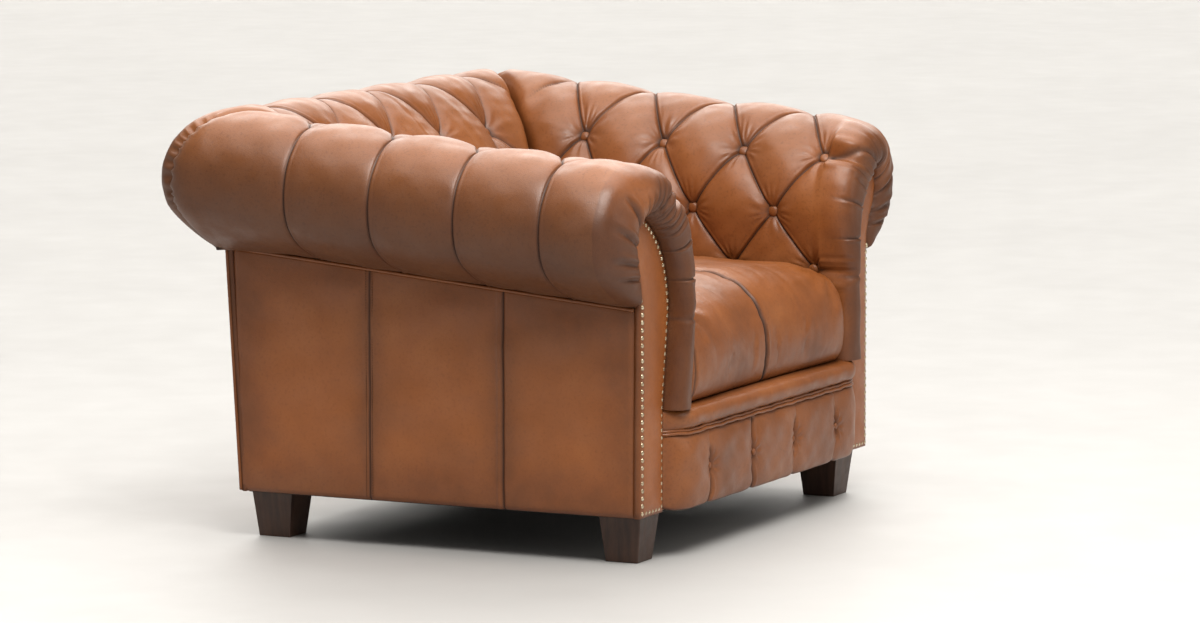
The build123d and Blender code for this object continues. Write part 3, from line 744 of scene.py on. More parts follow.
def back_columns():
    """Columns of the right half of the back pad, from its middle to the mitre, and how many of them turn."""
    step = back_pitch / 2 / steps
    places = np.arange(0, 3 * steps + 1) * step
    lip = back_panel_high.y + roll_lip - roll_y
    section = pad_section(back_inner, back_shoulder, lip, [back_high_row], [back_roll_height])
    corner_along, turn, seam, part = corner_columns(section[0], places[-1], roll_x, step)
    offset, height = (np.repeat(side, len(places), axis=0) for side in section)
    along = np.broadcast_to(places[:, None], offset.shape)
    corner = (corner_along, turn, seam, *(np.repeat(side, len(part), axis=0) for side in section))
    columns = joined_columns((along, offset, height), corner, section[0], -back_pitch / 2, back_pitch)
    return columns, len(part)


def domes(places, rings, tip, radius, rise, sides):
    """Domed heads. A place is a middle, the way it faces and a way across; a ring is its width and height."""
    points = []
    faces = []
    angles = 2 * math.pi * np.arange(sides)[:, None] / sides
    for centre, normal, across in places:
        first = len(points)
        spokes = np.cos(angles) * across + np.sin(angles) * np.cross(normal, across)
        for out, up in rings:
            points += list(centre + radius * out * spokes + rise * up * normal)
        faces += grid_faces(len(rings), sides, True, first)
        top = len(points) - sides
        points.append(centre + rise * tip * normal)
        faces += [(top + k, top + (k + 1) % sides, top + sides) for k in range(sides)]
        faces.append(tuple(first + k for k in reversed(range(sides))))
    return points, faces


def add_buttons(name, places, radius, node):
    """Covered buttons: a low dome with a rolled rim at each place, a middle and the way it faces."""
    rings = [(1.00, -0.22), (1.04, 0.05), (0.97, 0.24), (0.80, 0.40), (0.52, 0.51), (0.22, 0.56)]
    turned = []
    for centre, normal in places:
        across = np.cross(normal, (0.31, 0.17, 0.93))
        turned.append((centre, normal, across / np.linalg.norm(across)))
    points, faces = domes(turned, rings, 0.57, radius, radius, 20)
    add_piece(name, points, faces, "button_leather", [node], (0.0, 0.6))


def add_tuft_buttons(name, points, outer_columns, middle_columns, inward, node):
    """Buttons of a pad: a little above the skin at their columns, looking to the inward side."""
    places = []
    for row, columns in ((1, outer_columns), (2, middle_columns), (3, outer_columns)):
        j = int(np.argmin(np.abs(section_t - row)))
        for i in columns:
            ahead = points[i + 6, j] - points[i - 6, j]
            upward = points[i, j + 5] - points[i, j - 5]
            normal = np.cross(upward, ahead)
            normal *= np.sign(normal @ inward) / np.linalg.norm(normal)
            places.append((points[i, j] + button_stand * normal, normal))
    add_buttons(name, places, button_radius, node)


def add_arm(side, sign, seed):
    """One arm's tufted pad with its buttons; the left one is a mirror image with its own irregularities."""
    columns, corner_count, ahead = arm_columns()
    buttons = [(s, t) for s in range(arm_last_button + 1) for t in (1, 3)]
    buttons += [(s + 0.5, 2) for s in range(arm_last_button)]
    points, pleat, crown = pad_skin(columns, buttons, arm_pitch, arm_last_button + 1, seed)
    edge = seam_curve()
    to_seam(points, corner_count, stacked(edge[:, 1], edge[:, 0] - roll_x, edge[:, 2]))
    out, up = section_normals(columns[4][:1], columns[5][:1])
    s = columns[3]
    front = arm_front(points[0], out[0], up[0], s[0], seed)
    points, pleat, crown, s = (np.concatenate(pair) for pair in zip(front, (points, pleat, crown, s)))
    world = stacked(sign * (roll_x + points[..., 1]), points[..., 0], points[..., 2])
    marks = (pleat, crown)
    name = f"arm_{side}_tufted_pad"
    add_piece(name, world, pad_triangles(s), "tufted_leather", [f"arm_pad_{side}"], marks, fill=0.85)
    first = front_columns + ahead
    outer = [first + 2 * steps * i for i in range(arm_last_button + 1)]
    middle = [first + steps * (2 * i + 1) for i in range(arm_last_button)]
    inward = np.array([-sign, 0, 0])
    add_tuft_buttons(f"arm_{side}_tuft_buttons", world, outer, middle, inward, f"arm_buttons_{side}")


def add_back(seed):
    """Tufted back pad with its buttons, made as two halves that share the middle column."""
    columns, corner_count = back_columns()
    edge = seam_curve()
    buttons = [(s, t) for s in (1, 2) for t in (1, 3)] + [(0.5, 2), (1.5, 2)]
    halves = []
    for half_seed in (seed, seed + 20):
        half = pad_skin(columns, buttons, back_pitch, 3, half_seed)
        to_seam(half[0], corner_count, edge - (0, roll_y, 0))
        halves.append(half)
    right, left = halves
    right[0][0] = (right[0][0] + left[0][0]) / 2
    local = np.concatenate([left[0][:0:-1] * mirror, right[0]])
    marks = [np.concatenate([left[k][:0:-1], right[k]]) for k in (1, 2)]
    s = np.concatenate([1 - columns[3][:0:-1], columns[3]])
    world = local + (0, roll_y, 0)
    add_piece("back_tufted_pad", world, pad_triangles(s), "tufted_leather", ["back_pad"], marks, fill=0.85)
    centre = len(columns[3]) - 1
    outer = [centre + steps * k for k in (-3, -1, 1, 3)]
    middle = [centre + steps * k for k in (-2, 0, 2)]
    add_tuft_buttons("back_tuft_buttons", world, outer, middle, np.array([0, -1.0, 0]), "back_buttons")


# Seat cushion
cushion_loop = 168
cushion_easing = 0.007
cushion_end_round = 0.014
cushion_end_inset = 0.010
cushion_arch = 0.018
cushion_lift = 0.0003
cushion_pressure = 4.0
cushion_swell = 0.006
swell_frames = 20

# Cushion's seams, the puckers at its front corners and its soft folds
seam_half = 0.0040
seam_low_depth = 0.0034
seam_top_depth = 0.0076
seam_lap = 0.0024
end_seam_in = 0.0085
end_seam_width = 0.0020
end_seam_depth = 0.0016
pucker_centre = (0.004, 0.045, -0.040)
pucker_height = 0.0024
pucker_reach = 0.075
pucker_width = 0.045
fold_place = 0.165
fold_slant = 0.2
fold_width = 0.006
fold_depth = 0.0018
brow = 0.060
streak_height = 0.00035
wave_height = 0.0018

# Front of the cushion's section, as distance behind its front and height: at its middle, and near its ends
cushion_nose = [
    (0.010, 0.0), (0.002, 0.020), (-0.002, 0.061), (0.001, 0.102),
    (0.020, 0.142), (0.048, 0.170), (0.106, 0.189),
]
cushion_end_nose = [
    (0.005, 0.001), (-0.009, 0.020), (-0.014, 0.061), (-0.012, 0.102),
    (-0.002, 0.142), (0.020, 0.171), (0.089, 0.189),
]


def even_loop(corners, count, easing):
    """Closed loop through corners, evenly spaced, its corners eased over the given length."""
    closed = np.concatenate([corners, corners[:1]])
    lengths = np.concatenate([[0], np.cumsum(np.hypot(*np.diff(closed, axis=0).T))])
    finer = 8
    even = np.linspace(0, lengths[-1], finer * count, endpoint=False)
    loop = stacked(*(np.interp(even, lengths, closed[:, k]) for k in (0, 1)))
    reach = round(easing / lengths[-1] * len(loop))
    for _ in range(2):
        loop = sum(np.roll(loop, k, axis=0) for k in range(-reach, reach + 1)) / (2 * reach + 1)
    return loop[::finer]


def loop_normals(loop):
    ahead = np.roll(loop, -1, axis=0) - np.roll(loop, 1, axis=0)
    normal = stacked(ahead[:, 1], -ahead[:, 0])
    normal /= np.linalg.norm(normal, axis=1)[:, None]
    outward = np.sum((loop - loop.mean(axis=0)) * normal)
    return normal * np.sign(outward)


def cushion_section(nose):
    """Loop round the cushion: front edge, rolled nose, crowned top, rear edge."""
    low = cushion_low.z + cushion_lift
    front = cushion_low.y
    rear = cushion_high.y
    corners = [(rear, low)] + [(front + y, low + z) for y, z in nose]
    corners += [(front + 0.246, low + 0.195), (front + 0.446, low + 0.191)]
    corners += [(rear - 0.045, low + 0.180), (rear, low + 0.162), (rear, low + 0.118)]
    return even_loop(np.array(corners), cushion_loop, cushion_easing)


def cushion_stations(half):
    """Places across the cushion, closer together at the middle seam and at the ends."""
    near_seam = np.array([0, 0.0012, 0.0024, 0.0038, 0.0054, 0.0072, 0.0095, 0.0125, 0.0170, 0.0230])
    body = np.linspace(0.030, half - 0.024, 46)
    end = half - 0.019 * (1 - np.sin(np.linspace(0, math.pi / 2, 12)))
    right = np.concatenate([near_seam, body, end])
    return np.concatenate([-right[:0:-1], right])


def cushion_rings(stations):
    """The cushion's smooth form and its outward ways: fuller near its ends, which round into boxed sides."""
    half = cushion_high.x
    x = stations[:, None]
    middle = cushion_section(cushion_nose)
    end = cushion_section(cushion_end_nose)
    share = smooth(np.abs(stations), 0.05, 0.29)[:, None, None]
    loop = middle + share * (end - middle)
    out = loop_normals(middle) + share * (loop_normals(end) - loop_normals(middle))
    out /= np.linalg.norm(out, axis=-1)[..., None]
    top = np.clip((loop[..., 1] - cushion_low.z) / (cushion_high.z - cushion_low.z), 0, 1)
    into = np.clip((np.abs(x) - half) / cushion_end_round + 1, 0, 1)
    inset = cushion_end_inset * (1 - np.sqrt(1 - into**2))
    y = loop[..., 0] - out[..., 0] * inset
    z = loop[..., 1] - cushion_arch * (x / half) ** 2 * top - out[..., 1] * inset
    return stacked(x, y, z), out


def boxed_end(points, faces, ring, x_side):
    """Closes one end of the cushion with a slightly full side."""
    count = cushion_loop
    rim = points[ring * count:(ring + 1) * count]
    middle = np.mean(rim, axis=0)
    last = [ring * count + k for k in range(count)]
    for pull, bulge in ((0.12, 0.0012), (0.40, 0.0020), (0.72, 0.0024)):
        now = list(range(len(points), len(points) + count))
        points += [p + (middle - p) * pull + np.array([x_side * bulge, 0, 0]) for p in rim]
        faces += [(last[k], last[(k + 1) % count], now[(k + 1) % count], now[k]) for k in range(count)]
        last = now
    points.append(middle + np.array([x_side * 0.0026, 0, 0]))
    faces += [(last[k], last[(k + 1) % count], len(points) - 1) for k in range(count)]


def fill_out(obj, held):
    """Swells a sewn cover under its stuffing's pressure, held along its seams, and returns its points."""
    group = obj.vertex_groups.new(name="held")
    group.add([int(i) for i in np.flatnonzero(held)], 1.0, "REPLACE")
    cover = obj.modifiers.new("cover", "CLOTH")
    configure(
        cover.settings,
        quality=5,
        mass=0.4,
        tension_stiffness=20,
        compression_stiffness=20,
        shear_stiffness=8,
        bending_stiffness=1.0,
        shrink_min=-0.012,
        use_pressure=True,
        uniform_pressure_force=cushion_pressure,
        vertex_group_mass=group.name,
    )
    cover.settings.effector_weights.gravity = 0
    configure(cover.point_cache, frame_start=1, frame_end=swell_frames)
    scene = bpy.context.scene
    for moment in range(1, swell_frames + 1):
        scene.frame_set(moment)
    swollen = obj.evaluated_get(bpy.context.evaluated_depsgraph_get())
    points = np.array([v.co for v in swollen.data.vertices])
    obj.modifiers.remove(cover)
    obj.vertex_groups.remove(group)
    scene.frame_set(1)
    return points


def cushion_creases(points, stations):
    """Height of the seams, puckers and soft folds over the cushion, and how dark each place is."""
    half = cushion_high.x
    x = stations[:, None]
    behind = points[..., 1] - cushion_low.y
    rise = points[..., 2] - cushion_low.z
    above = smooth(rise, 0.004, 0.030)
    lap = bell(x - 0.0082, 0.0032) + 0.4 * bell(x + 0.0085, 0.0038)
    end_seam = bell(half - np.abs(x) - end_seam_in, end_seam_width)
    seam_depth = seam_low_depth + (seam_top_depth - seam_low_depth) * smooth(rise, 0.05, 0.11)
    height = (seam_lap * lap - seam_depth * bell(x, seam_half, 1.8) - end_seam_depth * end_seam) * above
    corner = np.array([-half, cushion_low.y, cushion_high.z]) + pucker_centre
    for side, phase in ((1.0, 0.4), (-1.0, 2.1)):
        away = points * np.array([side, 1.0, 1.0]) - corner
        reach = np.linalg.norm(away, axis=-1)
        spin = np.arctan2(away[..., 1] + away[..., 2], away[..., 0])
        height += pucker_height * np.sin(10 * spin + phase) * bell(reach - pucker_reach, pucker_width)
    fold = bell(x - fold_place - fold_slant * behind, fold_width) * bell(behind - brow, brow)
    streaks = wander(points * np.array([1.0, 0.12, 0.12]), 0.018, 71)
    height += (streak_height * streaks + wave_height * wander(points, 0.22, 72) - fold_depth * fold) * above
    return height, darkest(bell(x - 0.0016, 0.0052, 2.2), 0.75 * end_seam, 0 * height)


def add_cushion():
    """Loose seat cushion: two sewn widths that meet at a seam down the middle, boxed ends."""
    half = cushion_high.x
    stations = cushion_stations(half)
    rings, out = cushion_rings(stations)
    points = list(rings.reshape(-1, 3))
    faces = grid_faces(len(stations), cushion_loop, True)
    boxed_end(points, faces, 0, -1)
    boxed_end(points, faces, len(stations) - 1, 1)
    points = np.array(points)
    height, dark = cushion_creases(rings, stations)
    outward = np.zeros_like(points)
    outward[:height.size, 1:] = out.reshape(-1, 2)
    dark = np.concatenate([dark.ravel(), np.zeros(len(points) - dark.size)])
    # Paler towards the top: partly wear, partly painted highlight.
    crown = 0.9 * smooth(points[:, 2], cushion_low.z + 0.08, cushion_high.z)
    obj = mesh_object("seat_cushion_leather", points, faces, (dark, crown))
    face_outward(obj)
    final = points.copy()
    across = np.abs(points[:, 0])
    held = (across < 0.002) | (across > half - 0.009) | (points[:, 2] < cushion_low.z + 0.004)
    grown = np.sum((fill_out(obj, held) - points) * outward, axis=1)
    final += outward * np.clip(grown, 0, cushion_swell)[:, None]
    final[:height.size] += outward[:height.size] * height.reshape(-1, 1)
    obj.data.vertices.foreach_set("co", final.ravel())
    obj.data.update()
    dress(obj, "cushion_leather", ["seat_cushion_cover"], "seat_cushion", 0.9)


# Front border and band
border_puff = 0.015
band_puff = 0.020
border_round = 0.072
border_button_radius = 0.0056
border_button_stand = 0.0055
pleat_depth = 0.0105
pleat_width = 0.0062
pleat_shade = 0.0029
pleat_lap = 0.0016
hollow_depth = 0.0026
hollow_width = 0.024
button_pull_width = 0.022
spoke_height = 0.0012
spoke_reach = 0.017
spoke_width = 0.008
# Height of the border, roughly, to measure distances from a button halfway up
border_rise = 0.12
# Each pleat: its place, the shares of the height between which it is sharp, and its button's pull
border_pleats = [
    (-0.27525, 0.00, 0.58, 0.0052),
    (-0.09175, 0.00, 1.00, 0.0024),
    (0.09175, 0.38, 0.64, 0.0044),
    (0.27525, 0.44, 0.60, 0.0030),
]
pleat_places = [place for place, *_ in border_pleats]


def bar_stations(count, close=()):
    """Places along a bar at the front, closer together at the given places and at its rolled ends."""
    straight = np.linspace(-border_end + border_round, border_end - border_round, count)
    curled = border_round * np.sin(np.linspace(0, math.pi / 2, 18))[1:]
    end = border_end - border_round + curled
    return np.unique(np.round(np.concatenate([-end, straight, close, end]), 5))


def end_curl(x, face):
    """How far a padded bar along the front falls back near its ends."""
    into = np.clip((np.abs(x) - border_end) / border_round + 1, 0, 0.985)
    return (facing_back_y - face) * (1 - np.sqrt(1 - into**2))


def front_skin(stations, low, high, rows, face, relief, rise=0.0):
    """Closed padded bar along the front: rows up its face, top that may rise, rolled ends, flat back."""
    up = np.linspace(0, 1, rows)
    x = stations[:, None]
    low = np.broadcast_to(low, stations.shape)
    puff, pleat = relief(x, up)
    fall = end_curl(x, face)
    curled = fall / (facing_back_y - face)
    y = face + fall - puff * (1 - 0.7 * curled)
    ring = stacked(x, y, low[:, None] + (high - low[:, None]) * up)
    top = stacked(stations, y[:, -1] + 0.009 * (1 - curled[:, 0]), high + rise)
    back_high = stacked(stations, facing_back_y, high - 0.001)
    back_low = stacked(stations, facing_back_y, low + 0.001)
    points = np.concatenate([ring, top[:, None], back_high[:, None], back_low[:, None]], axis=1)
    pleat = np.concatenate([pleat, np.full((len(stations), 3), 0.5)], axis=1)
    return points, closed_faces(len(stations), rows + 3), pleat


def add_bar(name, node, skin, uneven):
    """Padded bar with a slightly uneven face, which fades out towards its flat back."""
    points, faces, pleat = skin
    points[..., 1] += uneven * np.clip((facing_back_y - points[..., 1]) / 0.02, 0, 1)
    add_piece(name, points, faces, "tufted_leather", [node], (pleat, 0.5 * (1 - pleat)), fill=0.8)


def border_relief(x, up):
    """Puffed widths between four sewn pleats, each drawn in by a small button halfway up."""
    dome = (1 - np.abs(2 * up - 1) ** 3.0) ** 0.5
    puff = border_puff * dome + 0 * x
    # Painted shade along its top and bottom edges.
    pleat = 0.6 * bell(to_nearer(up), 0.022)
    above = border_rise * (up - 0.5)
    at_button = bell(up - 0.5, 0.13)
    for index, (place, low, high, pull) in enumerate(border_pleats):
        bend = 0.0040 * np.sin(5.5 * up + 1.7 * index) + 0.0018 * np.sin(13 * up + index)
        away = x - place - bend
        sharp = smooth(up, low - 0.16, low + 0.02) * (1 - smooth(up, high - 0.02, high + 0.22))
        puff -= dome * (0.2 + 0.8 * sharp) * pleat_depth * bell(away, pleat_width, 1.1)
        puff -= dome * hollow_depth * bell(away, hollow_width)
        puff -= pull * bell(away, button_pull_width, 1.5) * at_button
        puff += dome * sharp * pleat_lap * bell(away - 0.0075, 0.0036)
        spokes = np.cos(9 * np.arctan2(above, away) + index)
        puff += spoke_height * spokes * bell(np.hypot(above, away) - spoke_reach, spoke_width)
        # Painted shade in each pleat and round its button.
        pleat = darkest(pleat, sharp * bell(away, pleat_shade), 0.48 * at_button * bell(away, 0.011))
    return puff, pleat


def add_border():
    """Tufted border over the seat rail, with its four small buttons."""
    close = [place + d for place in pleat_places for d in np.linspace(-0.016, 0.016, 33)]
    stations = bar_stations(240, close)
    face = front_y + border_puff
    nicks = sum(bell(stations - place, 0.009) for place in pleat_places)
    curled = end_curl(stations, face) / (facing_back_y - face)
    low = leg_height + 0.0035 * nicks + 0.012 * curled**2
    skin = front_skin(stations, low, border_top, 56, face, border_relief)
    add_bar("front_border_pleated", "front_border", skin, 0.0009 * wander(skin[0], 0.04, 81))
    middle = (leg_height + border_top) / 2
    places = []
    for place in pleat_places:
        sunk = face - border_relief(np.array([[place]]), np.array([0.5]))[0][0, 0]
        places.append((np.array([place, sunk - border_button_stand, middle]), np.array([0.0, -1.0, 0.0])))
    add_buttons("front_border_buttons", places, border_button_radius, "border_buttons")


def band_relief(x, up):
    """Plain rounded band, with painted shade along its bottom edge."""
    puff = band_puff * (1 - np.abs(2 * up - 1) ** 2.2) ** 0.5
    return puff + 0 * x, 0.8 * bell(up, 0.06) + 0 * x


def add_band():
    """Plain band between the border and the cushion."""
    face = front_y + band_puff
    skin = front_skin(bar_stations(150), rail_top, deck_top, 30, face, band_relief, 0.0025)
    add_bar("front_band_leather", "front_band", skin, 0.0011 * wander(skin[0], 0.07, 82))


# Piping and stitching
def tubes(paths, radius, sides):
    """Round tubes along rows of points, closed at both ends."""
    points = []
    faces = []
    angles = 2 * math.pi * np.arange(sides)[:, None] / sides
    for path in paths:
        first = len(points)
        ways = np.gradient(path, axis=0)
        ways /= np.linalg.norm(ways, axis=1)[:, None]
        for place, way in zip(path, ways):
            side = np.cross(way, (0.13, 0.37, 0.92) if abs(way[2]) < 0.8 else (0.92, 0.37, 0.13))
            side /= np.linalg.norm(side)
            points += list(place + radius * (np.cos(angles) * side + np.sin(angles) * np.cross(way, side)))
        faces += closed_faces(len(path), sides, first)
    return points, faces


def add_piping(name, paths, nodes=()):
    """Leather-covered cord along one or more paths."""
    points, faces = tubes(paths, welt_radius, 10)
    add_piece(name, points, faces, "piping_leather", nodes, (0.0, 0.5))


def panel_top(y):
    """Top of an outside arm panel, under the climbing roll."""
    climb = (y - face_y) / (roll_y - face_y)
    roll_z = arm_roll_height + (back_roll_height - arm_roll_height) * climb
    return roll_z - roll_radius - roll_seam_drop


def rear_edge_y(z):
    """Outer face of the raked outside back."""
    foot = back_panel_low.y + panel_thickness
    return foot + (back_panel_high.y - foot) * (z - leg_height) / (back_panel_high.z - leg_height)


def add_front_piping():
    """Two rows of piping between the border and the band."""
    bend = np.linspace(-1, 1, 220)
    along = border_end * np.sign(bend) * (1 - (1 - np.abs(bend)) ** 1.6)
    wave = 0.0006 * np.sin(along * 61) + 0.0005 * np.sin(along * 143)
    rows = []
    for height, ahead in ((rail_top - 0.0006, 0.0098), (border_top + 0.0006, 0.0072)):
        y = front_y + ahead + end_curl(along, front_y + ahead)
        rows.append(stacked(along, y, height + wave))
    add_piping("front_double_piping", rows, ["front_welt"])


def add_roll_piping():
    """Piping under the rolls and down the rear edges."""
    y = np.linspace(facing_back_y, panel_rear - 0.004, 90)
    z = np.linspace(leg_height + 0.002, back_panel_high.z - 0.004, 60)
    for side, sign in both_sides:
        under = stacked(sign * (half_width + welt_radius), y, panel_top(y) - 0.003)
        add_piping(f"arm_{side}_roll_piping", [under], [f"arm_welt_{side}"])
        edge = stacked(sign * (half_width - 0.001), rear_edge_y(z) - 0.0015, z)
        add_piping(f"rear_edge_{side}_piping", [edge])
    x = np.linspace(-half_width, half_width, 100)
    z_back = back_panel_high.z - roll_seam_drop
    add_piping("back_roll_piping", [stacked(x, rear_edge_y(z_back) + welt_radius, z_back)], ["back_welt"])


# Outside panels
def panel_fullness(edge, height, reach):
    """Padding of a panel, by the distance to its edge, where it is turned in."""
    return height * smooth(edge, 0.0, reach) - 0.005 * (1 - smooth(edge, 0, 0.006))


def panel_relief(y, edge):
    """Flat upholstered panel: slightly full widths between sewn seams, dark seams and burnished edges, and
    broad painted shade along its edges, as under the roll, and round the seams.
    """
    full = panel_fullness(edge, 0.0016, 0.05)
    burnish_and_shade = darkest(0.55 * bell(edge, 0.010, 1.2), 0.36 * bell(edge, 0.065))
    for k, depth, welt in ((1, 0.0034, 0.0024), (2, 0.0024, 0.0010)):
        away = y - (face_y + k * seam_step)
        full += welt * bell(away - 0.0075, 0.0045) - depth * bell(away, 0.0030, 1.4)
        burnish_and_shade = darkest(burnish_and_shade, 0.95 * bell(away, 0.0034, 1.4), 0.34 * bell(away, 0.030))
    return full, burnish_and_shade


def add_arm_panel(side, sign):
    """Outside arm panel in three sewn widths, under the roll."""
    close = [face_y + k * seam_step + d for k in (1, 2) for d in np.linspace(-0.018, 0.018, 25)]
    y0 = facing_back_y
    foot_y1 = back_panel_low.y + panel_thickness
    lean = (panel_rear - foot_y1) / (panel_top(panel_rear) - leg_height)
    across = np.unique(np.round(np.concatenate([np.linspace(y0, foot_y1, 120), close]), 5))[:, None]
    up = np.concatenate([[0, 0.004, 0.010], np.linspace(0.02, 0.98, 70), [0.990, 0.996, 1]])
    share = ((across - y0) / (foot_y1 - y0)) ** 6
    top = panel_top(across + share * (panel_rear - foot_y1)) - 0.001
    z = leg_height + up * (top - leg_height)
    y = across + share * lean * (z - leg_height)
    y1 = foot_y1 + lean * (z - leg_height)
    edge = np.minimum.reduce([y - y0, y1 - y, z - leg_height, panel_top(y) - z])
    full, burnish_and_shade = panel_relief(y, edge)
    x = half_width + full + 0.0008 * wander(stacked(z, y, 0), 0.11, 91 if sign > 0 else 92)
    back = stacked(sign * (half_width - panel_thickness), y, z)
    marks = (burnish_and_shade, smooth(edge, 0.02, 0.10))
    add_slab(f"outside_arm_{side}_panel", stacked(sign * x, y, z), back, marks, f"outside_arm_panel_{side}")
    add_topstitch(side, sign, y[:, 30], x[:, 30])


def add_topstitch(side, sign, panel_y, panel_x):
    """Two rows of short stitches beside the rear seam of an outside arm panel."""
    seam_y = face_y + 2 * seam_step
    stitches = []
    for y in (seam_y - stitch_aside, seam_y + stitch_aside):
        x = sign * (np.interp(y, panel_y, panel_x) + 0.0002)
        for z in np.arange(leg_height + 0.008, panel_top(seam_y) - 0.006, stitch_pitch):
            stitches.append(stacked(x, y, z + np.linspace(-0.5, 0.5, 5) * stitch_length))
    points, faces = tubes(stitches, stitch_radius, 6)
    add_piece(f"outside_arm_{side}_topstitch", points, faces, "thread", slot="piping_leather")


def add_slab(name, front, back, marks, node):
    """Closed leather panel between a modelled face and a flat back."""
    rows, columns = front.shape[:2]
    size = rows * columns
    rim = list(range(columns))
    rim += [i * columns + columns - 1 for i in range(1, rows)]
    rim += [(rows - 1) * columns + j for j in range(columns - 2, -1, -1)]
    rim += [i * columns for i in range(rows - 2, 0, -1)]
    count = len(rim)
    points = np.concatenate([front.reshape(-1, 3), back.reshape(-1, 3)[rim]])
    faces = grid_faces(rows, columns)
    for k in range(count):
        after = (k + 1) % count
        faces.append((rim[k], rim[after], size + after, size + k))
    faces.append(tuple(range(size, size + count)))
    pleat, crown = marks
    marks = (np.append(pleat, np.full(count, 0.5)), np.append(crown, np.zeros(count)))
    add_piece(name, points, faces, "panel_leather", [node], marks)


def add_back_panel():
    """Outside back in one width."""
    x = np.linspace(-half_width, half_width, 130)[:, None]
    z = np.linspace(leg_height, back_panel_high.z, 70)
    x, z = np.broadcast_arrays(x, z)
    edge = np.minimum.reduce([half_width - np.abs(x), z - leg_height, back_panel_high.z - z])
    full = panel_fullness(edge, 0.0020, 0.06) + 0.0010 * wander(stacked(x, z, 0), 0.15, 95)
    front = stacked(x, rear_edge_y(z) + full, z)
    back = stacked(x, rear_edge_y(z) - panel_thickness, z)
    marks = (0.75 * bell(edge, 0.018, 1.2), smooth(edge, 0.02, 0.12))
    add_slab("outside_back_leather", front, back, marks, "outside_back_panel")


# Front facings and nailheads
belly_spine = half_width - 0.056


def straight_run(start, end, shares):
    return [start + (end - start) * u for u in shares]


def facing_loop():
    """Closed outline of the facing and, for each of its points, the spine point it looks to."""
    edge = facing_outline()[section_t <= 6][::3]
    bottom_in = np.array([half_width - scroll_waist, leg_height])
    bottom_out = np.array([half_width, leg_height])
    loop = straight_run(bottom_in, edge[0], np.linspace(0, 1, 14, endpoint=False))
    loop += list(edge)
    loop += straight_run(edge[-1], bottom_out, np.linspace(0, 1, 34)[1:])
    loop = np.array(loop + straight_run(bottom_out, bottom_in, np.linspace(0, 1, 9)[1:-1]))
    spine_z = np.clip(loop[:, 1], leg_height + 0.03, arm_roll_height)
    lean = smooth(spine_z, arm_roll_height - scroll_belly_drop, arm_roll_height)
    return loop, stacked(belly_spine + (roll_x - belly_spine) * lean, spine_z)


def add_facing(side, sign):
    """Leaf-shaped front facing, slightly padded, recessed between the arm's rolled edges."""
    loop, spine = facing_loop()
    count = len(loop)
    rings = [
        (0.0, 0.010), (0.0, 0.0), (0.03, -0.0012), (0.10, -0.0022),
        (0.30, -0.0034), (0.60, -0.0042), (0.92, -0.0046),
    ]
    points = []
    for pull, ahead in rings:
        ring = loop + (spine - loop) * pull
        points.append(stacked(sign * ring[:, 0], face_y + ahead, ring[:, 1]))
    # Painted shade round the rim, where the facing meets the roll and the pad.
    pleat = np.repeat([0.42 * bell(pull, 0.16) for pull, _ in rings], count)
    faces = closed_faces(len(rings), count)
    marks = (pleat, 0.4 * (1 - pleat))
    add_piece(f"front_{side}_facing", points, faces, "panel_leather", [f"front_facing_{side}"], marks)


def nail_centres(node):
    """Middle of each nail of the CAD row, read from the tips of its domes."""
    tip_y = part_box(node)[0].y + 0.0005
    groups = []
    for tip in [v.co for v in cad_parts[node].data.vertices if v.co.y < tip_y]:
        for group in groups:
            if math.hypot(tip.x - group[0].x, tip.z - group[0].z) < nail_radius * 1.1:
                group.append(tip)
                break
        else:
            groups.append([tip])
    return [(np.mean([p.x for p in g]), np.mean([p.z for p in g])) for g in groups]


def add_nails(side):
    """Domed nailheads, each a little off its neighbours' height."""
    node = f"nailheads_{side}"
    rings = [(1.00, 0.00), (1.03, 0.14), (0.97, 0.38), (0.84, 0.62), (0.62, 0.82), (0.34, 0.95)]
    ahead = np.array([0.0, -1.0, 0.0])
    across = np.array([1.0, 0.0, 0.0])
    places = []
    for index, (x, z) in enumerate(nail_centres(node)):
        seat = face_y - 0.0010 - 0.0002 * math.sin(7.3 * index)
        places.append((np.array([x, seat, z]), ahead, across))
    points, faces = domes(places, rings, 1.0, nail_radius, nail_height, 16)
    add_piece(f"facing_{side}_nailheads", points, faces, "nail_brass", [node])


# Legs
def add_leg(node):
    """Tapered square leg with eased edges."""
    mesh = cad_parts[node].data.copy()
    mesh.name = f"{node}_eased"
    obj = new_object(f"{node}_eased", mesh)
    work = bmesh.new()
    work.from_mesh(mesh)
    bmesh.ops.remove_doubles(work, verts=work.verts, dist=0.00005)
    bmesh.ops.dissolve_limit(work, angle_limit=math.radians(2), verts=work.verts, edges=work.edges)
    work.to_mesh(mesh)
    work.free()
    ease = obj.modifiers.new("eased_edges", "BEVEL")
    configure(ease, width=0.0035, segments=3, limit_method="ANGLE", angle_limit=math.radians(40))
    dress(obj, "leg_wood", [node])


# CAD pieces that show as they are: words in their names, for each finish
timber_words = ("seat_rail", "corner_blocks", "arm_stump", "base_rail", "_rib", "roll_rail", "back_post")
cad_finishes = {
    "frame_timber": timber_words,
    "bent_board": ("_board",),
    "spring_steel": ("seat_springs", "spring_clips"),
    "deck_cloth": ("seat_deck",),
    "cushion_foam": ("seat_cushion_core",),
    "dust_cloth": ("dust_cover",),
    "bolt_steel": ("leg_bolts", "leg_nuts"),
}


def finish_cad_pieces():
    for finish, words in cad_finishes.items():
        for name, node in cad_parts.items():
            if any(word in name for word in words):
                node.data.materials.clear()
                node.data.materials.append(finishes[finish])


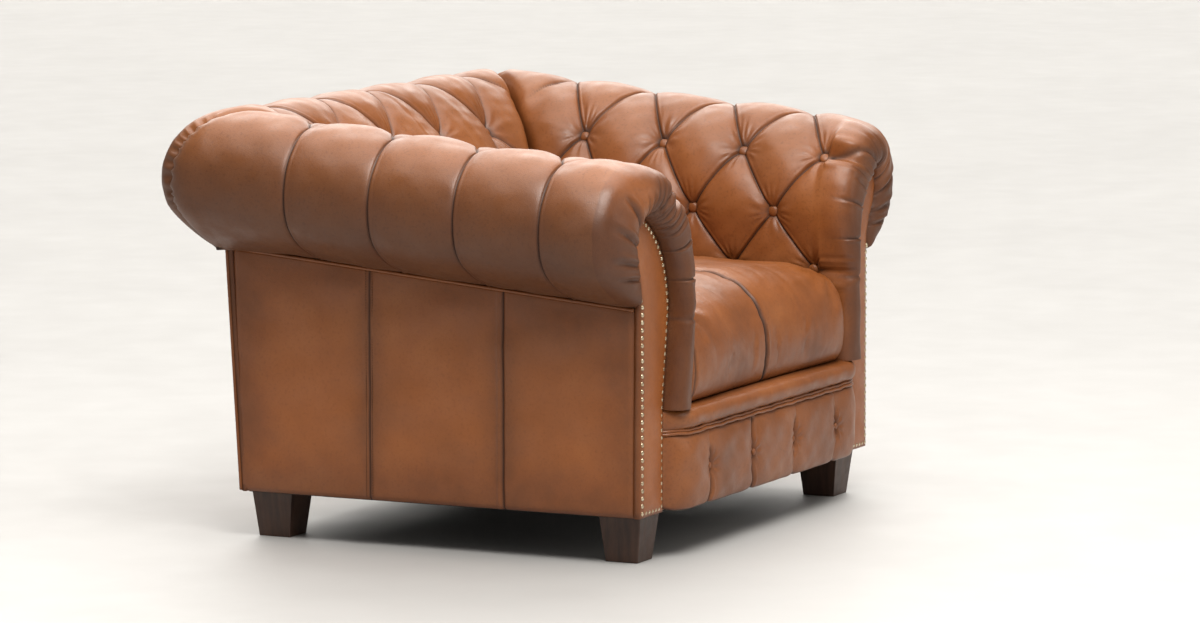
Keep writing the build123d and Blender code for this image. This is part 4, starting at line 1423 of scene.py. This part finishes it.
# Stage
floor_radius = 60.0
floor_sides = 96
warm_white = (1.0, 0.97, 0.92)
world_tint = (1.0, 0.96, 0.90, 1)
world_strength = 0.24
light_target = mathutils.Vector((0, -0.1, 0.4))
camera_place = (-9.49718, -4.62616, 1.62029)
camera_tilt = math.pi / 2 - 0.118
camera_heading = -1.1277
camera_lens = 175.66


def add_floor():
    """Pale round floor that fades into the backdrop's tone."""
    angles = np.linspace(0, 2 * math.pi, floor_sides, endpoint=False)
    rim = floor_radius * stacked(np.cos(angles), np.sin(angles), 0 * angles)
    faces = [(0, k, k % floor_sides + 1) for k in range(1, floor_sides + 1)]
    floor = mesh_object("floor", np.concatenate([np.zeros((1, 3)), rim]), faces)
    n = Nodes("floor")
    colour = n.ramp(n.noise(1.5, 3.0), (0.3, (0.43, 0.425, 0.42)), (0.7, (0.46, 0.455, 0.45)))
    roughness = n.spread(n.noise(8.0), 0.3, 0.7, 0.55, 0.65)
    floor.data.materials.append(n.finish(colour, roughness))


def add_lamp(name, kind, place, target, **settings):
    """Warm white lamp at a place, turned to its target."""
    lamp = configure(bpy.data.lights.new(name, kind), color=warm_white, **settings)
    way = mathutils.Vector(place) - target
    turn = way.to_track_quat("Z", "Y").to_euler()
    configure(new_object(name, lamp), location=place, rotation_euler=turn)


def add_studio():
    """Even pale surroundings: wide light from above and behind, a high side light, a weak front fill."""
    world = bpy.data.worlds.new("studio")
    bpy.context.scene.world = world
    world.use_nodes = True
    background = world.node_tree.nodes["Background"]
    background.inputs["Color"].default_value = world_tint
    background.inputs["Strength"].default_value = world_strength
    origin = mathutils.Vector((0, 0, 0))
    add_lamp("overhead", "SUN", (0, 0, 4), origin, energy=2.6, angle=1.2)
    add_lamp("rear", "SUN", (2.96, 1.4, 2.32), origin, energy=1.9, angle=0.9)
    add_lamp("high_left", "AREA", (-2.1, -1.8, 4.0), light_target, shape="SQUARE", size=2.2, energy=165)
    add_lamp("front", "AREA", (0.8, -4.0, 2.0), light_target, shape="SQUARE", size=2.4, energy=22)


def add_camera():
    """View of the photograph: from the front left, a little above."""
    data = bpy.data.cameras.new("camera")
    configure(data, sensor_fit="HORIZONTAL", sensor_width=36, lens=camera_lens, clip_end=500)
    camera = new_object("camera", data)
    configure(camera, location=camera_place, rotation_euler=(camera_tilt, 0, camera_heading))
    bpy.context.scene.camera = camera


add_arm("right", 1, 11)
add_arm("left", -1, 31)
add_back(51)
add_cushion()
add_border()
add_band()
add_front_piping()
add_roll_piping()
for side, sign in both_sides:
    add_arm_panel(side, sign)
    add_facing(side, sign)
    add_nails(side)
add_back_panel()
for leg in ("leg_front_left", "leg_front_right", "leg_rear_left", "leg_rear_right"):
    add_leg(leg)
finish_cad_pieces()
add_floor()
add_studio()
add_camera()
bpy.context.scene.view_settings.view_transform = "Standard"
